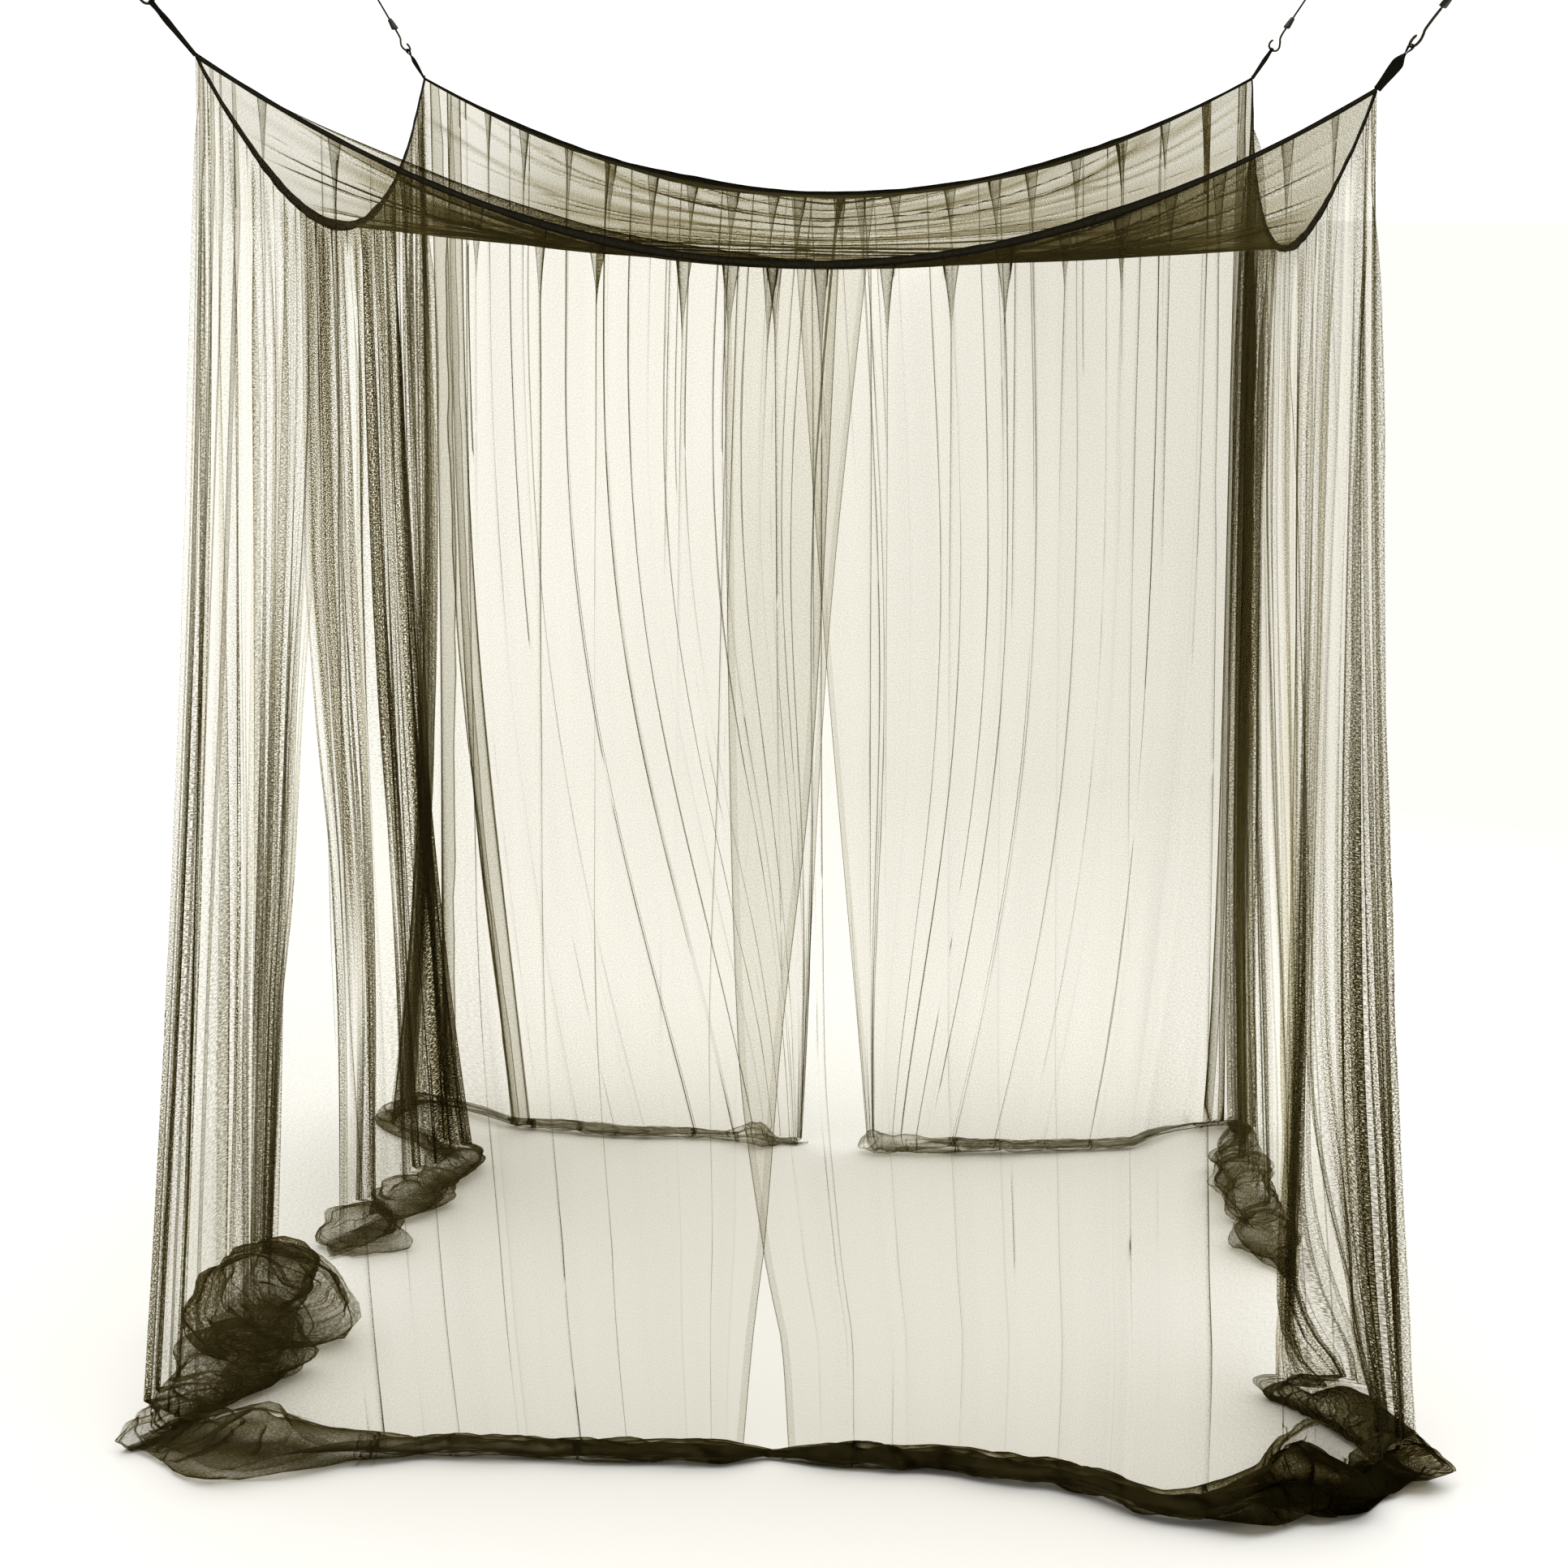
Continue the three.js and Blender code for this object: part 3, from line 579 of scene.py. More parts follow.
sides = [
    {"name": "front", "from": "front_left", "to": "front_right", "low": 2.039, "drawn": 0.05, "out": (0, -1),
     "lean": (1.3, 1.3), "tape": (0.01, 0.0135),
     "parting": [(0, 0.55, 0.45), (0.4, 0.53, 0.456), (0.65, 0.503, 0.465), (0.825, 0.489, 0.489),
                 (0.86, 0.4845, 0.496), (0.906, 0.479, 0.506), (1, 0.471, 0.513)],
     "floor": [(0, 0.2, 0.16, 0.06, 1, 1.8), (0.065, 0.215, 0.24, 0.075, 1, 2.6),
               (0.13, 0.165, 0.1, 0.045, 0.4, 2.2), (0.2, 0.16, 0.062, 0.042, 0.05, 2.6),
               (0.375, 0.165, 0.062, 0.042, 0, 3.6), (0.63, 0.16, 0.064, 0.044, 0, 4),
               (0.75, 0.205, 0.078, 0.052, 0.1, 3.6), (0.86, 0.3, 0.09, 0.055, 0.15, 3.8),
               (0.935, 0.27, 0.26, 0.12, 1, 6), (1, 0.17, 0.2, 0.09, 1, 6)]},
    {"name": "right", "from": "front_right", "to": "back_right", "low": 2.058, "drawn": 0.039, "out": (1, 0),
     "lean": (1.3, 2.8), "tape": (0.012, 0.018),
     "parting": [(0, 0.57, 0.52), (0.16, 0.55, 0.585), (0.47, 0.475, 0.5), (0.6, 0.435, 0.468),
                 (0.7, 0.395, 0.44), (0.82, 0.31, 0.42), (0.94, 0.2, 0.44), (1, 0.12, 0.45)],
     "floor": [(0, 0.17, 0.2, 0.09, 1, 6), (0.05, 0.06, 0.15, 0.1, 1, 5.5), (0.11, -0.03, 0.1, 0.06, 1, 3),
               (0.2, 0, 0.09, 0.05, 1, 1.8), (0.3, 0.035, 0.1, 0.05, 1, 1.5), (0.38, 0.06, 0.1, 0.05, 1, 1.5),
               (0.46, 0.08, 0.12, 0.065, 1, 1.5), (0.55, 0.06, 0.13, 0.07, 1, 1.4),
               (0.8, 0.04, 0.12, 0.065, 1, 1.1), (1, 0.06, 0.1, 0.05, 1, 1.1)]},
    {"name": "back", "from": "back_right", "to": "back_left", "low": 2.162, "drawn": 0.05, "out": (0, 1),
     "lean": (2.8, 2.8), "tape": (0.008, 0.019),
     "parting": [(0, 0.55, 0.45), (0.5, 0.504, 0.506), (1, 0.448, 0.534)],
     "floor": [(0, 0.06, 0.1, 0.05, 1, 1.1), (0.1, -0.14, 0.05, 0.03, 0.15, 1.1),
               (0.31, -0.18, 0.06, 0.035, 0.25, 1.2), (0.41, -0.15, 0.13, 0.06, 0.9, 1.1),
               (0.56, -0.11, 0.13, 0.06, 0.9, 1.1), (0.66, -0.11, 0.07, 0.035, 0.35, 1.1),
               (0.77, -0.12, 0.05, 0.03, 0.15, 1.1), (0.93, -0.09, 0.06, 0.035, 0.35, 1.1),
               (1, 0.12, 0.1, 0.045, 1, 1.2)]},
    {"name": "left", "from": "back_left", "to": "front_left", "low": 2.098, "drawn": 0.032, "out": (-1, 0),
     "lean": (2.8, 1.3), "tape": (0.013, 0.019),
     "parting": [(0, 0.7, 0.6), (0.28, 0.7, 0.64), (0.45, 0.66, 0.68), (0.62, 0.6, 0.7), (0.77, 0.57, 0.74),
                 (1, 0.55, 0.745)],
     "floor": [(0, 0.12, 0.1, 0.045, 1, 1.2), (0.07, 0.15, 0.08, 0.04, 0.8, 1.4),
               (0.14, 0, 0.07, 0.04, 0.6, 1.6), (0.22, -0.11, 0.1, 0.06, 0.9, 1.8),
               (0.36, -0.02, 0.16, 0.075, 1, 1.8), (0.5, 0.05, 0.17, 0.085, 1, 2.2),
               (0.6, 0.08, 0.14, 0.07, 1, 2), (0.7, 0.11, 0.17, 0.1, 1, 2.6), (0.8, 0.09, 0.2, 0.13, 1, 2.6),
               (0.93, 0.07, 0.18, 0.1, 1, 2.4), (1, 0.2, 0.16, 0.06, 1, 1.6)]},
]


def floorValue(side, key, u):
    return eased(side["floor"], floorColumns.index(key), u)


def partingValue(side, key, down):
    return flowing(side["parting"], partingColumns.index(key), down)


# Net: fine yarn with open meshes, so it is sheerer the squarer it is looked through

netLook = {
    "cover": 0.135, "leastCover": 0.01,  # share of one ply that is yarn
    "edgeOn": 0.028,  # the least that counts as looking through it
    "grain": 420.0,  # uneven knitting, cells in a metre
    "speckle": (1.0, 4.8),  # from smooth cloth to fuzzy
    "tint": (1, 0.992, 0.957), "strainFrom": 1.303, "strain": (0.0, 0.09, 0.45),
    # the yarn's own colour, and beside it a darker colour for thick heaps: painted shade for the shadow inside
    # the heaps
    "yarn": (0.05, 0.041, 0.014, 1), "heapShadeYarn": (0.008, 0.0064, 0.002, 1),
    "packed": 5.0,  # plies at which no more light comes back
}


def makeNet():
    material, tree = newMaterial("sheerNet")
    facing = tree.nodes.new("ShaderNodeLayerWeight")
    facing.inputs["Blend"].default_value = 0.5
    through = mathNode(tree, "SUBTRACT", 1.0, facing.outputs["Facing"])
    through = mathNode(tree, "MAXIMUM", through, netLook["edgeOn"])
    plies, fuzz = markNode(tree, "plies"), markNode(tree, "fuzz")
    depth = mathNode(tree, "DIVIDE", plies, through)
    grain = tree.nodes.new("ShaderNodeTexNoise")
    grain.noise_dimensions = "2D"
    grain.inputs["Scale"].default_value = netLook["grain"]
    grain.inputs["Detail"].default_value = 0.0
    tree.links.new(layNode(tree), grain.inputs["Vector"])
    swing = mathNode(tree, "SUBTRACT", grain.outputs["Fac"], 0.5)
    swing = mathNode(tree, "MULTIPLY", swing, rangeNode(tree, fuzz, *netLook["speckle"]))
    cover = rangeNode(tree, swing, netLook["cover"], 2 * netLook["cover"])
    cover = mathNode(tree, "MAXIMUM", cover, netLook["leastCover"])
    clear = mathNode(tree, "POWER", mathNode(tree, "SUBTRACT", 1.0, cover), depth)
    # light that goes through many plies turns olive
    even = mathNode(tree, "ADD", mathNode(tree, "POWER", 1 - netLook["cover"], depth), clear)
    strained = mathNode(tree, "MULTIPLY", even, netLook["strainFrom"] / 2)
    colour = tree.nodes.new("ShaderNodeCombineColor")
    for power, most, socket in zip(netLook["strain"], netLook["tint"], colour.inputs):
        tree.links.new(mathNode(tree, "MINIMUM", mathNode(tree, "POWER", strained, power), most), socket)
    yarn = tree.nodes.new("ShaderNodeBsdfDiffuse")
    # the yarn is painted darker the more plies there are: painted shade standing in for the shadow inside thick
    # heaps
    many = mathNode(tree, "DIVIDE", plies, netLook["packed"])
    yarnWithPaintedShade = rampNode(tree, many, (0.2, netLook["yarn"]), (1, netLook["heapShadeYarn"]))
    tree.links.new(yarnWithPaintedShade, yarn.inputs["Color"])
    openMesh = tree.nodes.new("ShaderNodeBsdfTransparent")
    tree.links.new(colour.outputs[0], openMesh.inputs["Color"])
    sheer = tree.nodes.new("ShaderNodeMixShader")
    for source, socket in zip((clear, yarn.outputs[0], openMesh.outputs[0]), sheer.inputs):
        tree.links.new(source, socket)
    out = tree.nodes.new("ShaderNodeOutputMaterial")
    tree.links.new(sheer.outputs[0], out.inputs["Surface"])
    return material


# stitch, seam: pitch along and across the tape, and how high in a wave the thread begins
tapeLook = {"rib": 0.0012, "weft": 0.0016, "weftLow": 0.4, "worn": 160, "bump": 0.0002, "rough": (0.75, 1.0),
            "stitch": (0.005, 0.35), "seam": (0.00943, 0.94), "threadPale": 0.75,
            "streak": 0.01885, "streakThin": 6.0, "underStreak": 0.3,
            "colours": ((0, (0.0008, 0.0006, 0.0003, 1)), (0.75, (0.022, 0.0185, 0.009, 1))),
            "fixed": {"Specular IOR Level": 0.08}}
tapeMaterial = makeWoven("bindingTape", tapeLook)
netMaterial = makeNet()
print("net and tape finishes ready")


# Roof edges and the way out of the net

tapeSet = {"tall": 0.012, "thick": 0.003, "tucked": 0.004, "sections": 200, "round": 16, "lay": 0.006}


def edgePoint(side, u):
    a = np.array(corners[side["from"]]["at"])
    b = np.array(corners[side["to"]]["at"])
    u = np.asarray(u, float)[..., None]
    slack = 4 * u * (1 - u)
    drawn = np.array((side["out"][0] * side["drawn"], side["out"][1] * side["drawn"], 0))
    fall = np.array((0, 0, (a[2] + b[2]) / 2 - side["low"]))
    return mix(a, b, u) - slack * (drawn + fall)


cornerFan = 0.15  # share of a side over which its folds turn to face the corner
foldsOpenAt = 0.3  # share of the height over which the folds open


def outward(side, u, down):
    near = np.where(np.asarray(u)[..., None] < 0.5, corners[side["from"]]["out"], corners[side["to"]]["out"])
    toCorner = np.minimum(u, 1 - np.asarray(u))
    fan = np.maximum(cornerFan * smooth(down, 0, foldsOpenAt), 1e-6)
    turn = (1 - smooth(toCorner / fan, 0, 1)) * math.pi / 4
    across = np.array(side["out"], float)
    along = near - across
    flat = across * np.cos(turn)[..., None] + along * np.sin(turn)[..., None]
    return np.concatenate([flat, np.zeros_like(flat[..., :1])], -1)


# Wall panels: each hangs from the middle of one side, round a corner, to the middle of the next

wallSet = {
    "tuck": 0.013, "tuckStands": 0.002,  # turned hem along the parting edges
    "lapTop": 0.0017, "lapFull": 0.007,
    "fall": 2.1, "hem": 0.5,  # height of a wall, near enough, and the cloth that lies on the floor
    "topRows": 20, "lowRows": 44, "hemRows": 62,
    "wander": 0.006,
    "flanks": (0.0008, 0.004),  # between a fold's flanks, at the tape and lower down
    "stands": 0.08, "bulge": 0.07,  # how far a fold stands off the wall and rounds out, to its depth
    "uneven": ((0.5, 2.3, 2), (0.3, 12, 3)),  # a fold's depth on its way down: how much, how often, seed
    "slit": (0.16, 0.2, 26), "edge": (0.05, 0.12, 27),  # open and dense lines: apart, sharpness, seed
    "hemFuzz": 0.3,
}
heapSet = {
    "ropeTurns": 4.2, "ropeTwist": 0.016, "ropeThins": 0.6,
    "heapTurns": 1.65, "heapThins": 0.4, "heapSinks": 0.62,
    "lumpLong": 0.15, "lumpWide": 0.45, "lumpTall": 0.6,
    # how high, how far apart along the side and in turns of the roll, and a seed
    "bumps": ((0.36, 0.11, 1.2, 15), (0.3, 0.055, 0.7, 21), (0.12, 0.026, 0.45, 22)),
    "lift": 0.0015,  # off the floor
    "shuffle": (0.012, 0.03),  # along the side, in a rope and in a heap
}

pleatShares = (0, 0.2, 0.5, 0.8, 1, 0.8, 0.5, 0.2, 0)
creaseShares = (0, 0.5, 1, 0.5, 0)

# All net: depth of a pleat's line below the tape, plies above and below, at the parting edge and at the corner,
# how far the hem closes or spreads, and how deep creases and gathers are
netCloth = {"line": 0.0035, "sheer": (1, 1), "edgeSheer": 1, "bunch": 1, "closes": 0, "spread": 0,
            "creaseDeep": 0.0042, "gatherFrom": 0, "gatherTop": 0.5, "gatherBegins": 0, "gatherTaper": 0.5}
# loose cloth and cloth drawn into strands: step between columns, and waves by height, width and turns down
looseCloth = {**netCloth, "step": 0.0095, "pucker": 0.12, "slits": 0, "edgeCrowd": 0, "knit": 1, "fuzz": 0.1,
              "deep": 0.03, "creases": 13, "waves": [(0.007, 0.17, 1.3), (0.0022, 0.05, 2.2)]}
strandCloth = {**netCloth, "step": 0.0044, "pucker": 1.5, "slits": 0.8, "edgeCrowd": 1, "knit": 0.5, "fuzz": 1,
               "deep": 0.02, "creases": 3, "sweep": (0.05, 3),
               "waves": [(0.006, 0.1, 0.9), (0.01, 0.045, 1.2), (0.009, 0.022, 1.5), (0.0035, 0.011, 2)]}

# Each half panel from its corner to the parting. places: pleats sewn in the tape; creases: fine lines between;
# gathers: folds bunched at the corner; sweep: how far folds are drawn to the parting at the floor, and a power
halves = {
    ("front", "early"): {
        **looseCloth, "places": (0.1, 0.21, 0.32, 0.43, 0.53, 0.62, 0.756, 0.83, 0.893), "deep": 0.032,
        "line": 0.003, "creases": 6, "creaseDeep": 0.003, "gathers": 4, "gatherDeep": 0.014, "gatherWide": 0.06,
        "sweep": (0.55, 3), "closes": 0.045},
    ("front", "late"): {
        **looseCloth, "places": (0.06, 0.13, 0.231, 0.304, 0.378, 0.465, 0.558, 0.642, 0.742, 0.846, 0.92),
        "deep": 0.032, "line": 0.0024, "creases": 5, "creaseDeep": 0.003, "gathers": 4, "gatherDeep": 0.005,
        "gatherFrom": 0.08, "gatherWide": 0.1, "gatherTop": 0.03, "gatherBegins": 1.4, "gatherTaper": 0.8,
        "sweep": (0.12, 4), "closes": 0.045},
    ("right", "early"): {
        **strandCloth, "places": (0.08, 0.16, 0.25, 0.34, 0.43, 0.53, 0.62, 0.72, 0.82, 0.92),
        "gathers": 4, "gatherDeep": 0.03, "gatherWide": 0.08, "bunch": 1.8, "bunchWide": 0.13,
        "sheer": (0.55, 1.5), "edgeSheer": 0.35, "edgeCrowd": 0, "pucker": 1},
    ("right", "late"): {
        **strandCloth, "places": (0.1, 0.19, 0.28, 0.37, 0.46, 0.55, 0.64, 0.73, 0.82, 0.92),
        "gathers": 6, "gatherDeep": 0.06, "gatherWide": 0.09, "bunch": 1.3, "sheer": (1, 0.7)},
    ("back", "early"): {
        **looseCloth, "places": (0.1, 0.186, 0.28, 0.378, 0.475, 0.555, 0.653, 0.773, 0.849, 0.895),
        "gathers": 2, "gatherDeep": 0.03, "gatherWide": 0.035, "bunch": 1.3, "sweep": (1.2, 4)},
    ("back", "late"): {
        **looseCloth, "places": (0.144, 0.225, 0.325, 0.418, 0.513, 0.6, 0.69, 0.78, 0.838, 0.924),
        "gathers": 3, "gatherDeep": 0.045, "gatherWide": 0.09, "sweep": (2.2, 3)},
    ("left", "early"): {
        **strandCloth, "places": (0.09, 0.17, 0.26, 0.35, 0.44, 0.53, 0.63, 0.73, 0.83, 0.92),
        "gathers": 5, "gatherDeep": 0.04, "gatherWide": 0.11, "bunch": 0.55, "sheer": (1.7, 1.9)},
    ("left", "late"): {
        **strandCloth, "places": (0.07, 0.15, 0.24, 0.33, 0.43, 0.53, 0.62, 0.72, 0.82, 0.92),
        "gathers": 4, "gatherDeep": 0.026, "gatherWide": 0.09, "spread": 0.34, "sheer": (0.45, 1.7)},
}


def halfFolds(half, seed):
    # one row for each fold: place from the corner, depth under the tape and lower down, which way it lies
    chance = np.random.RandomState(seed)
    either = lambda: chance.choice((-1, 1))
    folds = []
    for k in range(half["gathers"]):
        place = half["gatherWide"] * (k + 0.5 + chance.uniform(-0.3, 0.3)) / half["gathers"]
        place += half["gatherFrom"]
        deep = half["gatherDeep"] * chance.uniform(0.4, 1.1)
        folds.append({"place": place, "top": half["gatherTop"] * deep, "low": deep, "dash": 0.3, "thick": 1,
                      "begins": half["gatherBegins"], "taper": half["gatherTaper"], "shares": pleatShares,
                      "way": either() if place > 0.02 else 1, "side": either()})
    for place in half["places"]:
        middle = math.sin(math.pi * min(place, 0.5))
        folds.append({"place": place, "top": half["deep"] * mix(0.4, 1, middle) * chance.uniform(0.75, 1.1),
                      "low": half["line"] * chance.uniform(0.3, 1.2), "taper": chance.uniform(0.1, 0.15),
                      "begins": 0, "dash": 0.7, "thick": 1.7, "shares": pleatShares,
                      "way": either(), "side": either()})
    for k in range(half["creases"]):
        place = mix(0.08, 0.97, (k + chance.uniform(0.1, 0.9)) / half["creases"])
        folds.append({"place": place, "top": 0.0008, "low": chance.uniform(0.0012, half["creaseDeep"]),
                      "taper": 0.1, "begins": 0, "dash": 1.2, "thick": 1, "shares": creaseShares,
                      "way": either(), "side": either()})
    return sorted(folds, key=lambda fold: fold["place"])


def halfColumns(folds, long, step):
    # columns from the corner to the parting edge: place, share of a fold's depth, flank, fold and turned hem
    columns = [(0.0, 0.0, 0.0, -1, 0.0)]
    before = 0.0
    for index, fold in enumerate([*folds, {"place": 1.0, "shares": ()}]):
        count = max(1, round((fold["place"] - before) * long / step))
        columns += [(mix(before, fold["place"], n / count), 0, 0, -1, 0) for n in range(1, count)]
        before = fold["place"]
        half = len(fold["shares"]) // 2
        columns += [(before, part, (n > half) - (n < half), index, 0) for n, part in enumerate(fold["shares"])]
    columns += [(1.0, 0, 0, -1, n / 4) for n in range(5)]
    place, share, flank, owner, tuck = (np.array(column) for column in zip(*columns))
    return place, share, flank, owner, tuck


def halfPanel(side, part, seed, floorSeed):
    half = halves[(side["name"], part)]
    early = part == "early"
    away = 1 if early else -1
    sideLong = np.linalg.norm(edgePoint(side, 0.0) - edgePoint(side, 1.0))
    span = lambda down: partingValue(side, "ends", down) if early else 1 - partingValue(side, "starts", down)
    long = float(span(0.0)) * sideLong
    folds = halfFolds(half, seed)
    place, share, flank, owner, tuck = halfColumns(folds, long, half["step"])
    of = lambda key: np.array([fold[key] for fold in folds] + [0.0])[owner]
    topDeep, lowDeep, taper, dash, way, turned, begins = (
        of(key) for key in ("top", "low", "taper", "dash", "way", "side", "begins"))
    thick = np.where(share > 0, of("thick"), 1)
    step = np.abs(np.diff(place)) * long + np.abs(np.diff(share)) * np.maximum(topDeep, lowDeep)[1:]
    step += np.abs(np.diff(tuck)) * wallSet["tuck"]
    flat = np.concatenate([[0], np.cumsum(step)])  # width of cloth from the corner
    middle = np.sin(math.pi * place)
    toEnd = 1 - place
    rank = owner * 3.7 + 0.5
    pleated = np.where(owner >= 0, of("thick") > 1, 0)

    def across(down):
        # share of the side at this height, folds swept towards the parting near the floor
        stop = span(down)
        crowd = span(0.0) / stop  # cloth pressed together where the panel is drawn in
        sweep, power = half["sweep"]
        drawn = (1 + sweep * down ** power) * crowd ** half["edgeCrowd"]
        wander = wallSet["wander"] * drift(place * 9, down * 2.5 + seed, seed + 1) * smooth(down, 0, 0.2)
        swept = 1 - toEnd ** drawn + wander * middle
        return (swept * stop if early else 1 - swept * stop), crowd

    def frameAt(u, down):
        out = outward(side, u, down)
        along = np.stack([-out[:, 1], out[:, 0], np.zeros(len(out))], -1) * away
        return out, along

    def lumpy(u):
        # loose cloth lies in lumps along the side
        run = (u if early else u - 1) * sideLong  # along the floor from the corner
        beat = run / heapSet["lumpLong"]
        lump = drift(2 * beat, 1.0, floorSeed + 19) + 0.5 * drift(0.9 * beat, 2.0, floorSeed + 20)
        lump = floorValue(side, "mess", u) * lump
        tip = mix(0.35, 1, smooth(toEnd, 0, 0.14))
        wide = floorValue(side, "wide", u) * (0.95 + heapSet["lumpWide"] * lump) * tip
        tall = floorValue(side, "tall", u) * (0.95 + heapSet["lumpTall"] * lump) * tip
        return wide, tall, run

    def foldShift(down, crowd):
        # how far the cloth stands off the wall line (outwards) and along it (from the corner), and its plies
        fallen = down * wallSet["fall"]
        uneven = sum(much * drift(fallen * often, rank, seed + more) for much, often, more in wallSet["uneven"])
        uneven = np.clip(1 + dash * uneven, 0.06, 2)
        tapered = 1 - (1 - np.clip((fallen - begins) / np.maximum(taper, 1e-3), 0, 1)) ** 1.5
        depth = mix(topDeep, lowDeep * uneven, tapered)
        gap = mix(*wallSet["flanks"], smooth(down, 0.02, 0.5))
        slide = way * (share - 0.5 * pleated) * depth + gap * (1 - share) * flank * 0.5
        slide = np.maximum(slide, -0.9 * place * long)  # none past the corner
        wave = sum(high * drift(flat / wide + 9 * n, down * turns, seed + 4 + n)
                   for n, (high, wide, turns) in enumerate(half["waves"]))
        wave = wave * smooth(down, 0.0, 0.2) * mix(0.4, 1, smooth(toEnd, 0.05, 0.3)) * smooth(place, 0, 0.07)
        wave = wave * (1 + 0.8 * min(max(crowd - 1, 0), 1.2))
        lap = mix(wallSet["lapTop"], wallSet["lapFull"], smooth(down, 0, foldsOpenAt))
        lap = (1 - smooth(toEnd, 0.18, 0.36)) * lap
        bulge = wallSet["bulge"] * share * (1 - share) * flank * way
        off = turned * depth * (wallSet["stands"] * share + bulge)
        off = off * mix(0.25, 1, smooth(down, 0.0, 0.05)) + wave - away * lap
        off = off + wallSet["tuckStands"] * np.minimum(4 * tuck, 1)
        # fine strands above, broader bands below, and open slits between
        fine = mix(1, 0.4, down)
        strands = ((0.5 * fine, 0.013, 1.6), (0.7 * fine, 0.024, 1.2), (0.45, 0.05, 0.8),
                   (0.8 * (1 - 0.7 * fine), 0.13, 0.6))
        pucker = sum(strong * drift(flat / wide + n, down * turns, seed + 20 + n)
                     for n, (strong, wide, turns) in enumerate(strands))
        slit, edge = (thinLines(flat / wide, down * 0.7, seed + more, sharp)
                      for wide, sharp, more in (wallSet["slit"], wallSet["edge"]))
        combed = np.exp(half["pucker"] * (pucker + 0.7 * edge)) * (1 - half["slits"] * slit)
        layers = mix(thick, 1, smooth(tapered, 0.8, 1)) * mix(1, combed, smooth(down, 0, 0.03))
        return off, slide - wallSet["tuck"] * tuck, layers * max(crowd, 1) ** 0.4

    rows, lengths, plies = [], [], []
    bunchWide = half.get("bunchWide", half["gatherWide"])
    bunched = mix(half["bunch"], 1, smooth(place, 0.6 * bunchWide, 1.5 * bunchWide))
    topRows, lowRows = np.linspace(0, 0.1, wallSet["topRows"]), np.linspace(0.1, 1, wallSet["lowRows"])
    for down in np.concatenate([topRows, lowRows[1:]]):
        u, crowd = across(down)
        off, slide, layers = foldShift(down, crowd)
        above = edgePoint(side, np.clip(u + away * slide / sideLong, 0, 1))  # the tape over each fold
        topZ = above[:, 2] - tapeSet["tall"] / 2 + tapeSet["tucked"]
        lowZ = lumpy(u)[1] * mix(0.5, 1, floorValue(side, "mess", u))
        out, along = frameAt(u, down)
        reach = floorValue(side, "foot", u) * down ** mix(*side["lean"], smooth(u, 0, 1)) + off
        spot = edgePoint(side, u) + out * reach[:, None] + along * slide[:, None]
        spot[:, 2] = mix(topZ, lowZ, down)
        rows.append(spot)
        lengths.append(down * wallSet["fall"])
        edgeSheer = mix(1, half["edgeSheer"], smooth(place, 0.5, 0.8) * smooth(down, 0.25, 0.55))
        plies.append(bunched * layers * edgeSheer * mix(*half["sheer"], smooth(down, 0.3, 0.8)))
    # the hem goes on from the last row, whose folds die out in it
    foot, mess, heap = (floorValue(side, key, u) for key in ("foot", "mess", "plies"))
    wide, tall, run = lumpy(u)
    edge = edgePoint(side, u)
    crush = lambda x, y, more: drift(x, y, floorSeed + more)  # shared by the two halves at a corner
    for h in np.linspace(0, 1, wallSet["hemRows"] + 1)[1:]:
        begun = smooth(h, 0, 0.15)
        # neat stretches roll into a twisted rope
        turn = h * (2 * math.pi * heapSet["ropeTurns"] + 1.8 * crush(run / 0.2, 0.0, 8))
        twist = run + turn * heapSet["ropeTwist"]
        radius = (1 - heapSet["ropeThins"] * h) * (1 + begun * 0.2 * crush(twist / 0.05, turn / 1.8, 9))
        ropeOut = 0.5 * wide * (1 - radius * np.cos(turn))
        ropeOut = ropeOut + begun * 0.1 * wide * crush(run / 0.1, turn / 2.6, 10)
        ropeUp = 0.5 * tall * (1 - radius * np.sin(turn))
        ropeUp = ropeUp + begun * 0.14 * tall * crush(twist / 0.04, turn / 2.2, 11)
        # loose stretches billow into rounded lumps
        roll = h * 2 * math.pi * heapSet["heapTurns"] + 0.5 * begun * crush(run / 0.2, 2.0, 14)
        bumps = sum(high * crush(run / far, roll / turns, more) for high, far, turns, more in heapSet["bumps"])
        ruffled = bumps + 0.07 * drift(flat / 0.03, roll, seed + 40)
        puff = (1 - heapSet["heapThins"] * h) * (1 + begun * ruffled)
        heapOut = -0.5 * wide * puff * np.sin(roll) + begun * 0.14 * wide * crush(run / 0.18, h * 2, 16)
        heapUp = 0.5 * tall * (mix(1, heapSet["heapSinks"], h) + puff * np.cos(roll))
        shuffle = begun * mix(*heapSet["shuffle"], mess) * crush(run / 0.14, h * 3, 13)
        shuffle = shuffle + begun * (half["closes"] * smooth(place, 0.85, 1)
                                     + half["spread"] * h * smooth(place, 0.4, 1) ** 2)
        settled = 1 - 0.75 * begun
        reach = foot + settled * off + mix(ropeOut, heapOut, mess)
        height = mix(ropeUp, heapUp, mess) + begun * 0.0015 * crush(twist / 0.018, turn / 0.7, 12)
        spot = edge + out * reach[:, None] + along * (settled * slide + shuffle)[:, None]
        spot[:, 2] = heapSet["lift"] + np.maximum(height, 0) + 0.003 * np.clip(-height / 0.01, 0, 1)
        rows.append(spot)
        lengths.append(wallSet["fall"] + h * wallSet["hem"])
        strands = mix(0.7, 0.2, mess) * crush(twist / 0.013, turn / 0.8, 18)
        strands = strands + 0.7 * mess * crush(run / 0.08, roll / 0.9, 23)
        plies.append(mix(bunched * half["sheer"][1], heap, smooth(h, 0.0, 0.25)) * np.exp(strands))
    lay = layOut(flat[None, :] * half["knit"], np.array(lengths)[:, None])
    return np.stack(rows), lay, np.stack(plies), flat[-1]


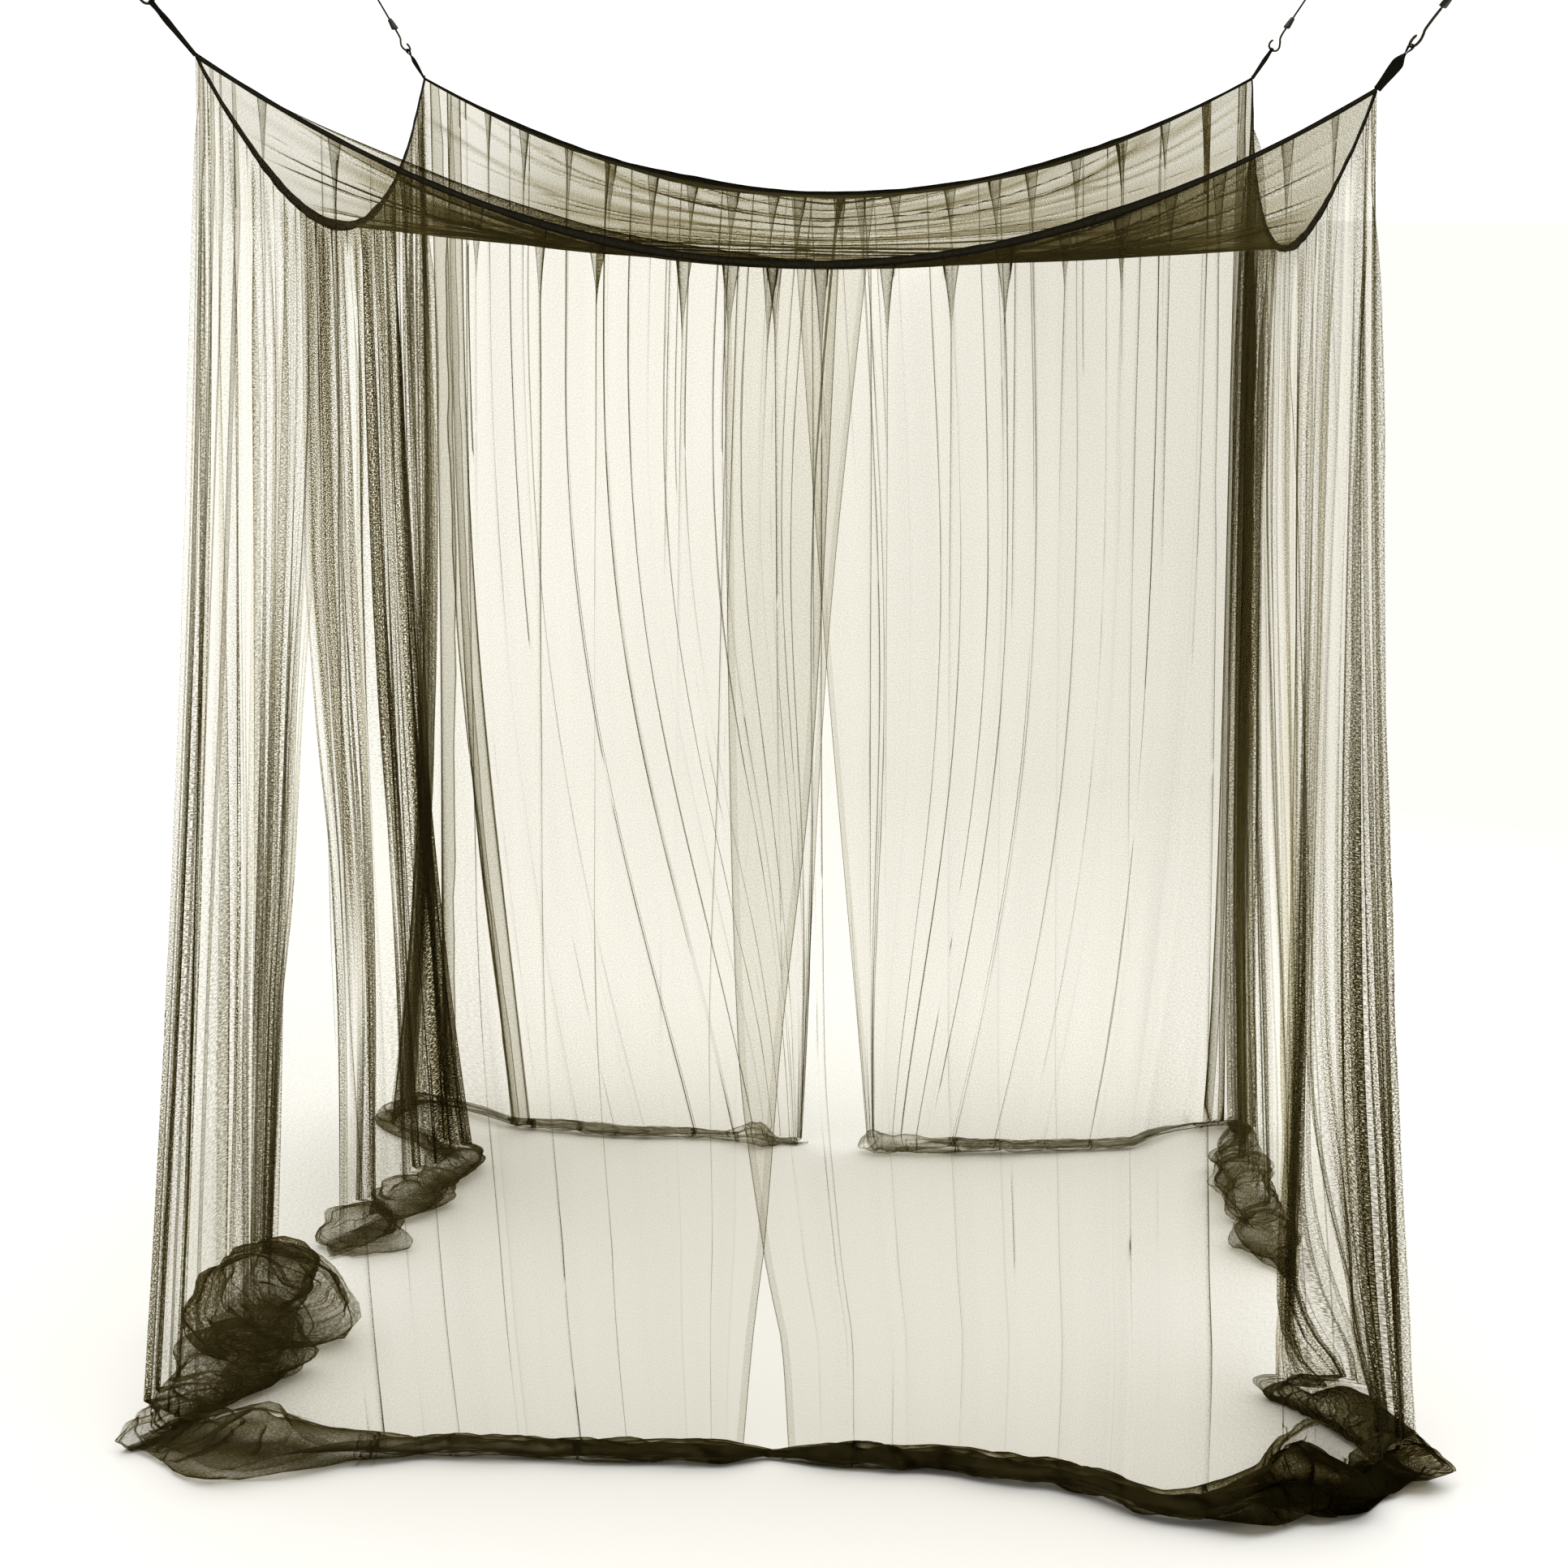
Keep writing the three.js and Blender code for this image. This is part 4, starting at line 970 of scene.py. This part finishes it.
def addWall(index):
    before, after = sides[index], sides[(index + 1) % 4]
    name = "net_wall_" + before["to"]
    late, lateLay, latePlies, lateWide = halfPanel(before, "late", 100 + 31 * index, 900 + 31 * index)
    early, earlyLay, earlyPlies, earlyWide = halfPanel(after, "early", 500 + 31 * index, 900 + 31 * index)
    lateLay[..., 0] *= -1
    join = lambda a, b: np.concatenate([a[:, :0:-1], b], 1)[::-1]
    lateFuzz = np.full(latePlies.shape, halves[(before["name"], "late")]["fuzz"], float)
    fuzz = join(lateFuzz, np.full(earlyPlies.shape, halves[(after["name"], "early")]["fuzz"], float))
    fuzz[:wallSet["hemRows"]] *= wallSet["hemFuzz"]
    mesh = gridMesh(name, join(late, early), join(lateLay, earlyLay), plies=join(latePlies, earlyPlies),
                    fuzz=fuzz)
    piece = addPiece(mesh, netMaterial, "wall_" + before["to"])


for index in range(4):
    addWall(index)


# Roof: hung from its four edges, with a shallow valley from side to side and long pulled creases

roofSet = {"columns": 140, "rows": 330, "valley": 0.033, "inset": 0.0025, "long": 1.9, "lay": (1.95, 1.85),
           "crease": 0.005, "creaseSharp": 0.06, "ripple": 0.004, "fuzz": 0.3,
           "plies": 1.65, "sidePlies": (0.65, 1.7),  # in the middle, and by the left and right tapes
           "sideWide": (0.06, 0.22), "frontPlies": 2.1,
           "heading": 0.02, "headingRows": 6}  # net that stands up over the front tape's left half


def roofPoints():
    front, right, back, left = sides
    inset = roofSet["inset"] / roofSet["long"]
    u = np.linspace(inset, 1 - inset, roofSet["columns"] + 1)[None, :]
    w = np.linspace(inset, 1 - inset, roofSet["rows"] + 1)[:, None]
    u, w = np.broadcast_arrays(u, w)
    toSide = np.minimum(u, 1 - u)
    f, b = edgePoint(front, u), edgePoint(back, 1 - u)
    l, r = edgePoint(left, 1 - w), edgePoint(right, w)
    at = {name: np.array(corner["at"]) for name, corner in corners.items()}
    su, sw = u[..., None], w[..., None]
    flat = mix(mix(at["front_left"], at["front_right"], su), mix(at["back_left"], at["back_right"], su), sw)
    points = mix(f, b, sw) + mix(l, r, su) - flat
    valley = mix(left["low"], right["low"], u) - roofSet["valley"] * 4 * u * (1 - u)
    points[..., 2] = mix(f[..., 2], b[..., 2], w) - 4 * w * (1 - w) * ((f[..., 2] + b[..., 2]) / 2 - valley)
    inside = smooth(np.minimum(toSide, np.minimum(w, 1 - w)), 0, 0.04)
    # creases run from side to side and fan from the corners
    fan = 0.5 + (w - 0.5) / mix(0.5, 1, np.abs(2 * u - 1) ** 1.2)
    long, short = (thinLines(u * turns, fan * lines + start, seed, roofSet["creaseSharp"])
                   for turns, lines, start, seed in ((1.6, 15, 0, 41), (3, 34, 7, 42)))
    crease = long + 0.6 * short
    points[..., 2] += inside * (roofSet["crease"] * crease + roofSet["ripple"] * drift(u * 4, fan * 22, 43))
    middle = smooth(toSide, *roofSet["sideWide"])
    spread = np.where(u < 0.5, *[mix(plies, roofSet["plies"], middle) for plies in roofSet["sidePlies"]])
    calm = mix(1, 0.3, smooth(toSide, 0.12, 0.34))
    crinkle = 0.25 * drift(u * 45, fan * 50, 46) * (1 - calm)
    under = mix(roofSet["frontPlies"], 1, np.maximum(smooth(w, 0.35, 0.55), 1 - middle))
    plies = spread * under * (1 + crinkle) + inside * calm * (1.5 * long + 0.8 * short)
    lay = np.stack([u, w], -1) * roofSet["lay"]
    # the heading goes up from the front tape and down again behind it
    u, rows = u[0], roofSet["headingRows"]
    tall = roofSet["heading"] * smooth(u, 0.01, 0.2) * (1 - smooth(u, 0.42, 0.6))
    tall = tall * (1 + 0.2 * drift(u * 14, 0, 45))
    up = np.arange(rows) / rows
    rise = np.concatenate([up, 1 - up])[:, None]
    strip = np.repeat(points[:1], len(rise), 0)
    strip[..., 1] -= 0.002 * np.concatenate([1 - up, 0 * up])[:, None]
    strip[..., 2] += rise * tall
    ridge = np.where(rise > 1 - 1.5 / rows, 7.0, mix(1.3, 5.0, smooth(u, 0.1, 0.3)))
    stripLay = np.repeat(lay[:1], len(rise), 0)
    stripLay[..., 1] -= (len(rise) - np.arange(len(rise)))[:, None] * 0.003
    join = lambda a, b: np.concatenate([a, b], 0)
    return join(strip, points), join(stripLay, lay), join(ridge, plies)


def addRoof():
    points, lay, plies = roofPoints()
    mesh = gridMesh("net_roof", points, lay, plies=plies, fuzz=np.full(plies.shape, roofSet["fuzz"]))
    print("net_roof area", round(sum(p.area for p in mesh.polygons), 2))
    return addPiece(mesh, netMaterial, "roof_net")


roof = addRoof()


# Binding tape: folded over the sewn edge

def addTape(side):
    u = np.linspace(0, 1, tapeSet["sections"] + 1)
    edge = edgePoint(side, u)
    out = np.array((*side["out"], 0.0))
    turn = np.linspace(0, 2 * math.pi, tapeSet["round"] + 1)
    wide = 0.5 * tapeSet["thick"] * squared(np.cos(turn), 0.45)
    tall = 0.5 * mix(*side["tape"], smooth(u * (1 - u), 0.04, 0.2))
    uneven = 1 + 0.3 * drift(u * 9, side["low"] * 50, 50) + 0.1 * drift(u * 60, 0, 51)
    points = edge[:, None, :] + out * wide[None, :, None]
    points[..., 2] += squared(np.sin(turn), 0.45)[None, :] * (tall * uneven)[:, None]
    points += out * (0.0012 * drift(u * 45, 1, 52))[:, None, None]
    lay = layOut(turn[None, :] * tapeSet["lay"], lengthAlong(edge)[:, None])
    mesh = rolledMesh("tape_binding_" + side["name"], points, lay)
    return addPiece(mesh, tapeMaterial, "tape_" + side["name"])


tapes = [addTape(side) for side in sides]
print("roof and tapes ready")


# Floor and soft light

# the floor colour runs from the pale to the darker stop: painted light and shade, paler to the left and darker
# to the right far behind the net
floorLook = {"patch": 0.7, "across": 0.17, "middle": (0.44, 0.5), "farShade": -0.25, "rough": (0.88, 0.94),
             "bump": 0.0001, "fixed": {},
             "colours": ((0.1, (0.95, 0.938, 0.893, 1)), (0.75, (0.76, 0.745, 0.695, 1)))}
stageSet = {"size": 900, "sun": 3.35, "sunWide": 100, "sunTurn": (-20, 0, -12), "glow": 0.35,
            "backdrop": 1.2, "backdropColour": (1, 0.988, 0.94, 1)}


def makeFloor():
    # painted light and shade: paler to the left and in front, darker to the right far behind the net, over
    # random patches
    material, tree = newMaterial("paleFloorPaintedShade")
    patch = noiseNode(tree, floorLook["patch"])
    x, y = partsNode(tree, placeNode(tree))
    across = mathNode(tree, "MULTIPLY", x, floorLook["across"])
    across = mathNode(tree, "ADD", across, rangeNode(tree, patch, *floorLook["middle"]))
    # painted shade: only far behind the net does the floor turn darker to the right
    farShade = rangeNode(tree, y, floorLook["farShade"], 0.0)
    farShade = mathNode(tree, "MINIMUM", mathNode(tree, "MAXIMUM", farShade, 0.0), 1.0)
    surface(tree, floorLook, mathNode(tree, "MULTIPLY", across, farShade), patch, patch)
    return material


def addStage():
    bm = bmesh.new()
    bmesh.ops.create_grid(bm, x_segments=2, y_segments=2, size=stageSet["size"])
    floor = linkPiece(meshFrom(bm, "floor"), makeFloor())
    sunData = bpy.data.lights.new("sky", "SUN")
    sunData.energy = stageSet["sun"]
    sunData.angle = math.radians(stageSet["sunWide"])
    sun = bpy.data.objects.new("sky", sunData)
    scene.collection.objects.link(sun)
    sun.rotation_euler = [math.radians(turn) for turn in stageSet["sunTurn"]]
    world = bpy.data.worlds.new("studio")
    scene.world = world
    world.use_nodes = True
    tree = world.node_tree
    tree.nodes.clear()
    seen = tree.nodes.new("ShaderNodeLightPath")
    either = tree.nodes.new("ShaderNodeMixShader")
    tree.links.new(seen.outputs["Is Camera Ray"], either.inputs[0])
    glow = ((1, 1, 1, 1), stageSet["glow"])
    backdrop = (stageSet["backdropColour"], stageSet["backdrop"])
    for socket, (colour, strength) in zip(either.inputs[1:], (glow, backdrop)):
        light = tree.nodes.new("ShaderNodeBackground")
        light.inputs["Color"].default_value = colour
        light.inputs["Strength"].default_value = strength
        tree.links.new(light.outputs[0], socket)
    out = tree.nodes.new("ShaderNodeOutputWorld")
    tree.links.new(either.outputs[0], out.inputs["Surface"])


addStage()
scene.view_settings.view_transform = "Standard"
scene.cycles.transparent_max_bounces = 96  # one for each ply that is looked through
scene.cycles.max_bounces = 3
scene.cycles.sample_clamp_indirect = 1.0
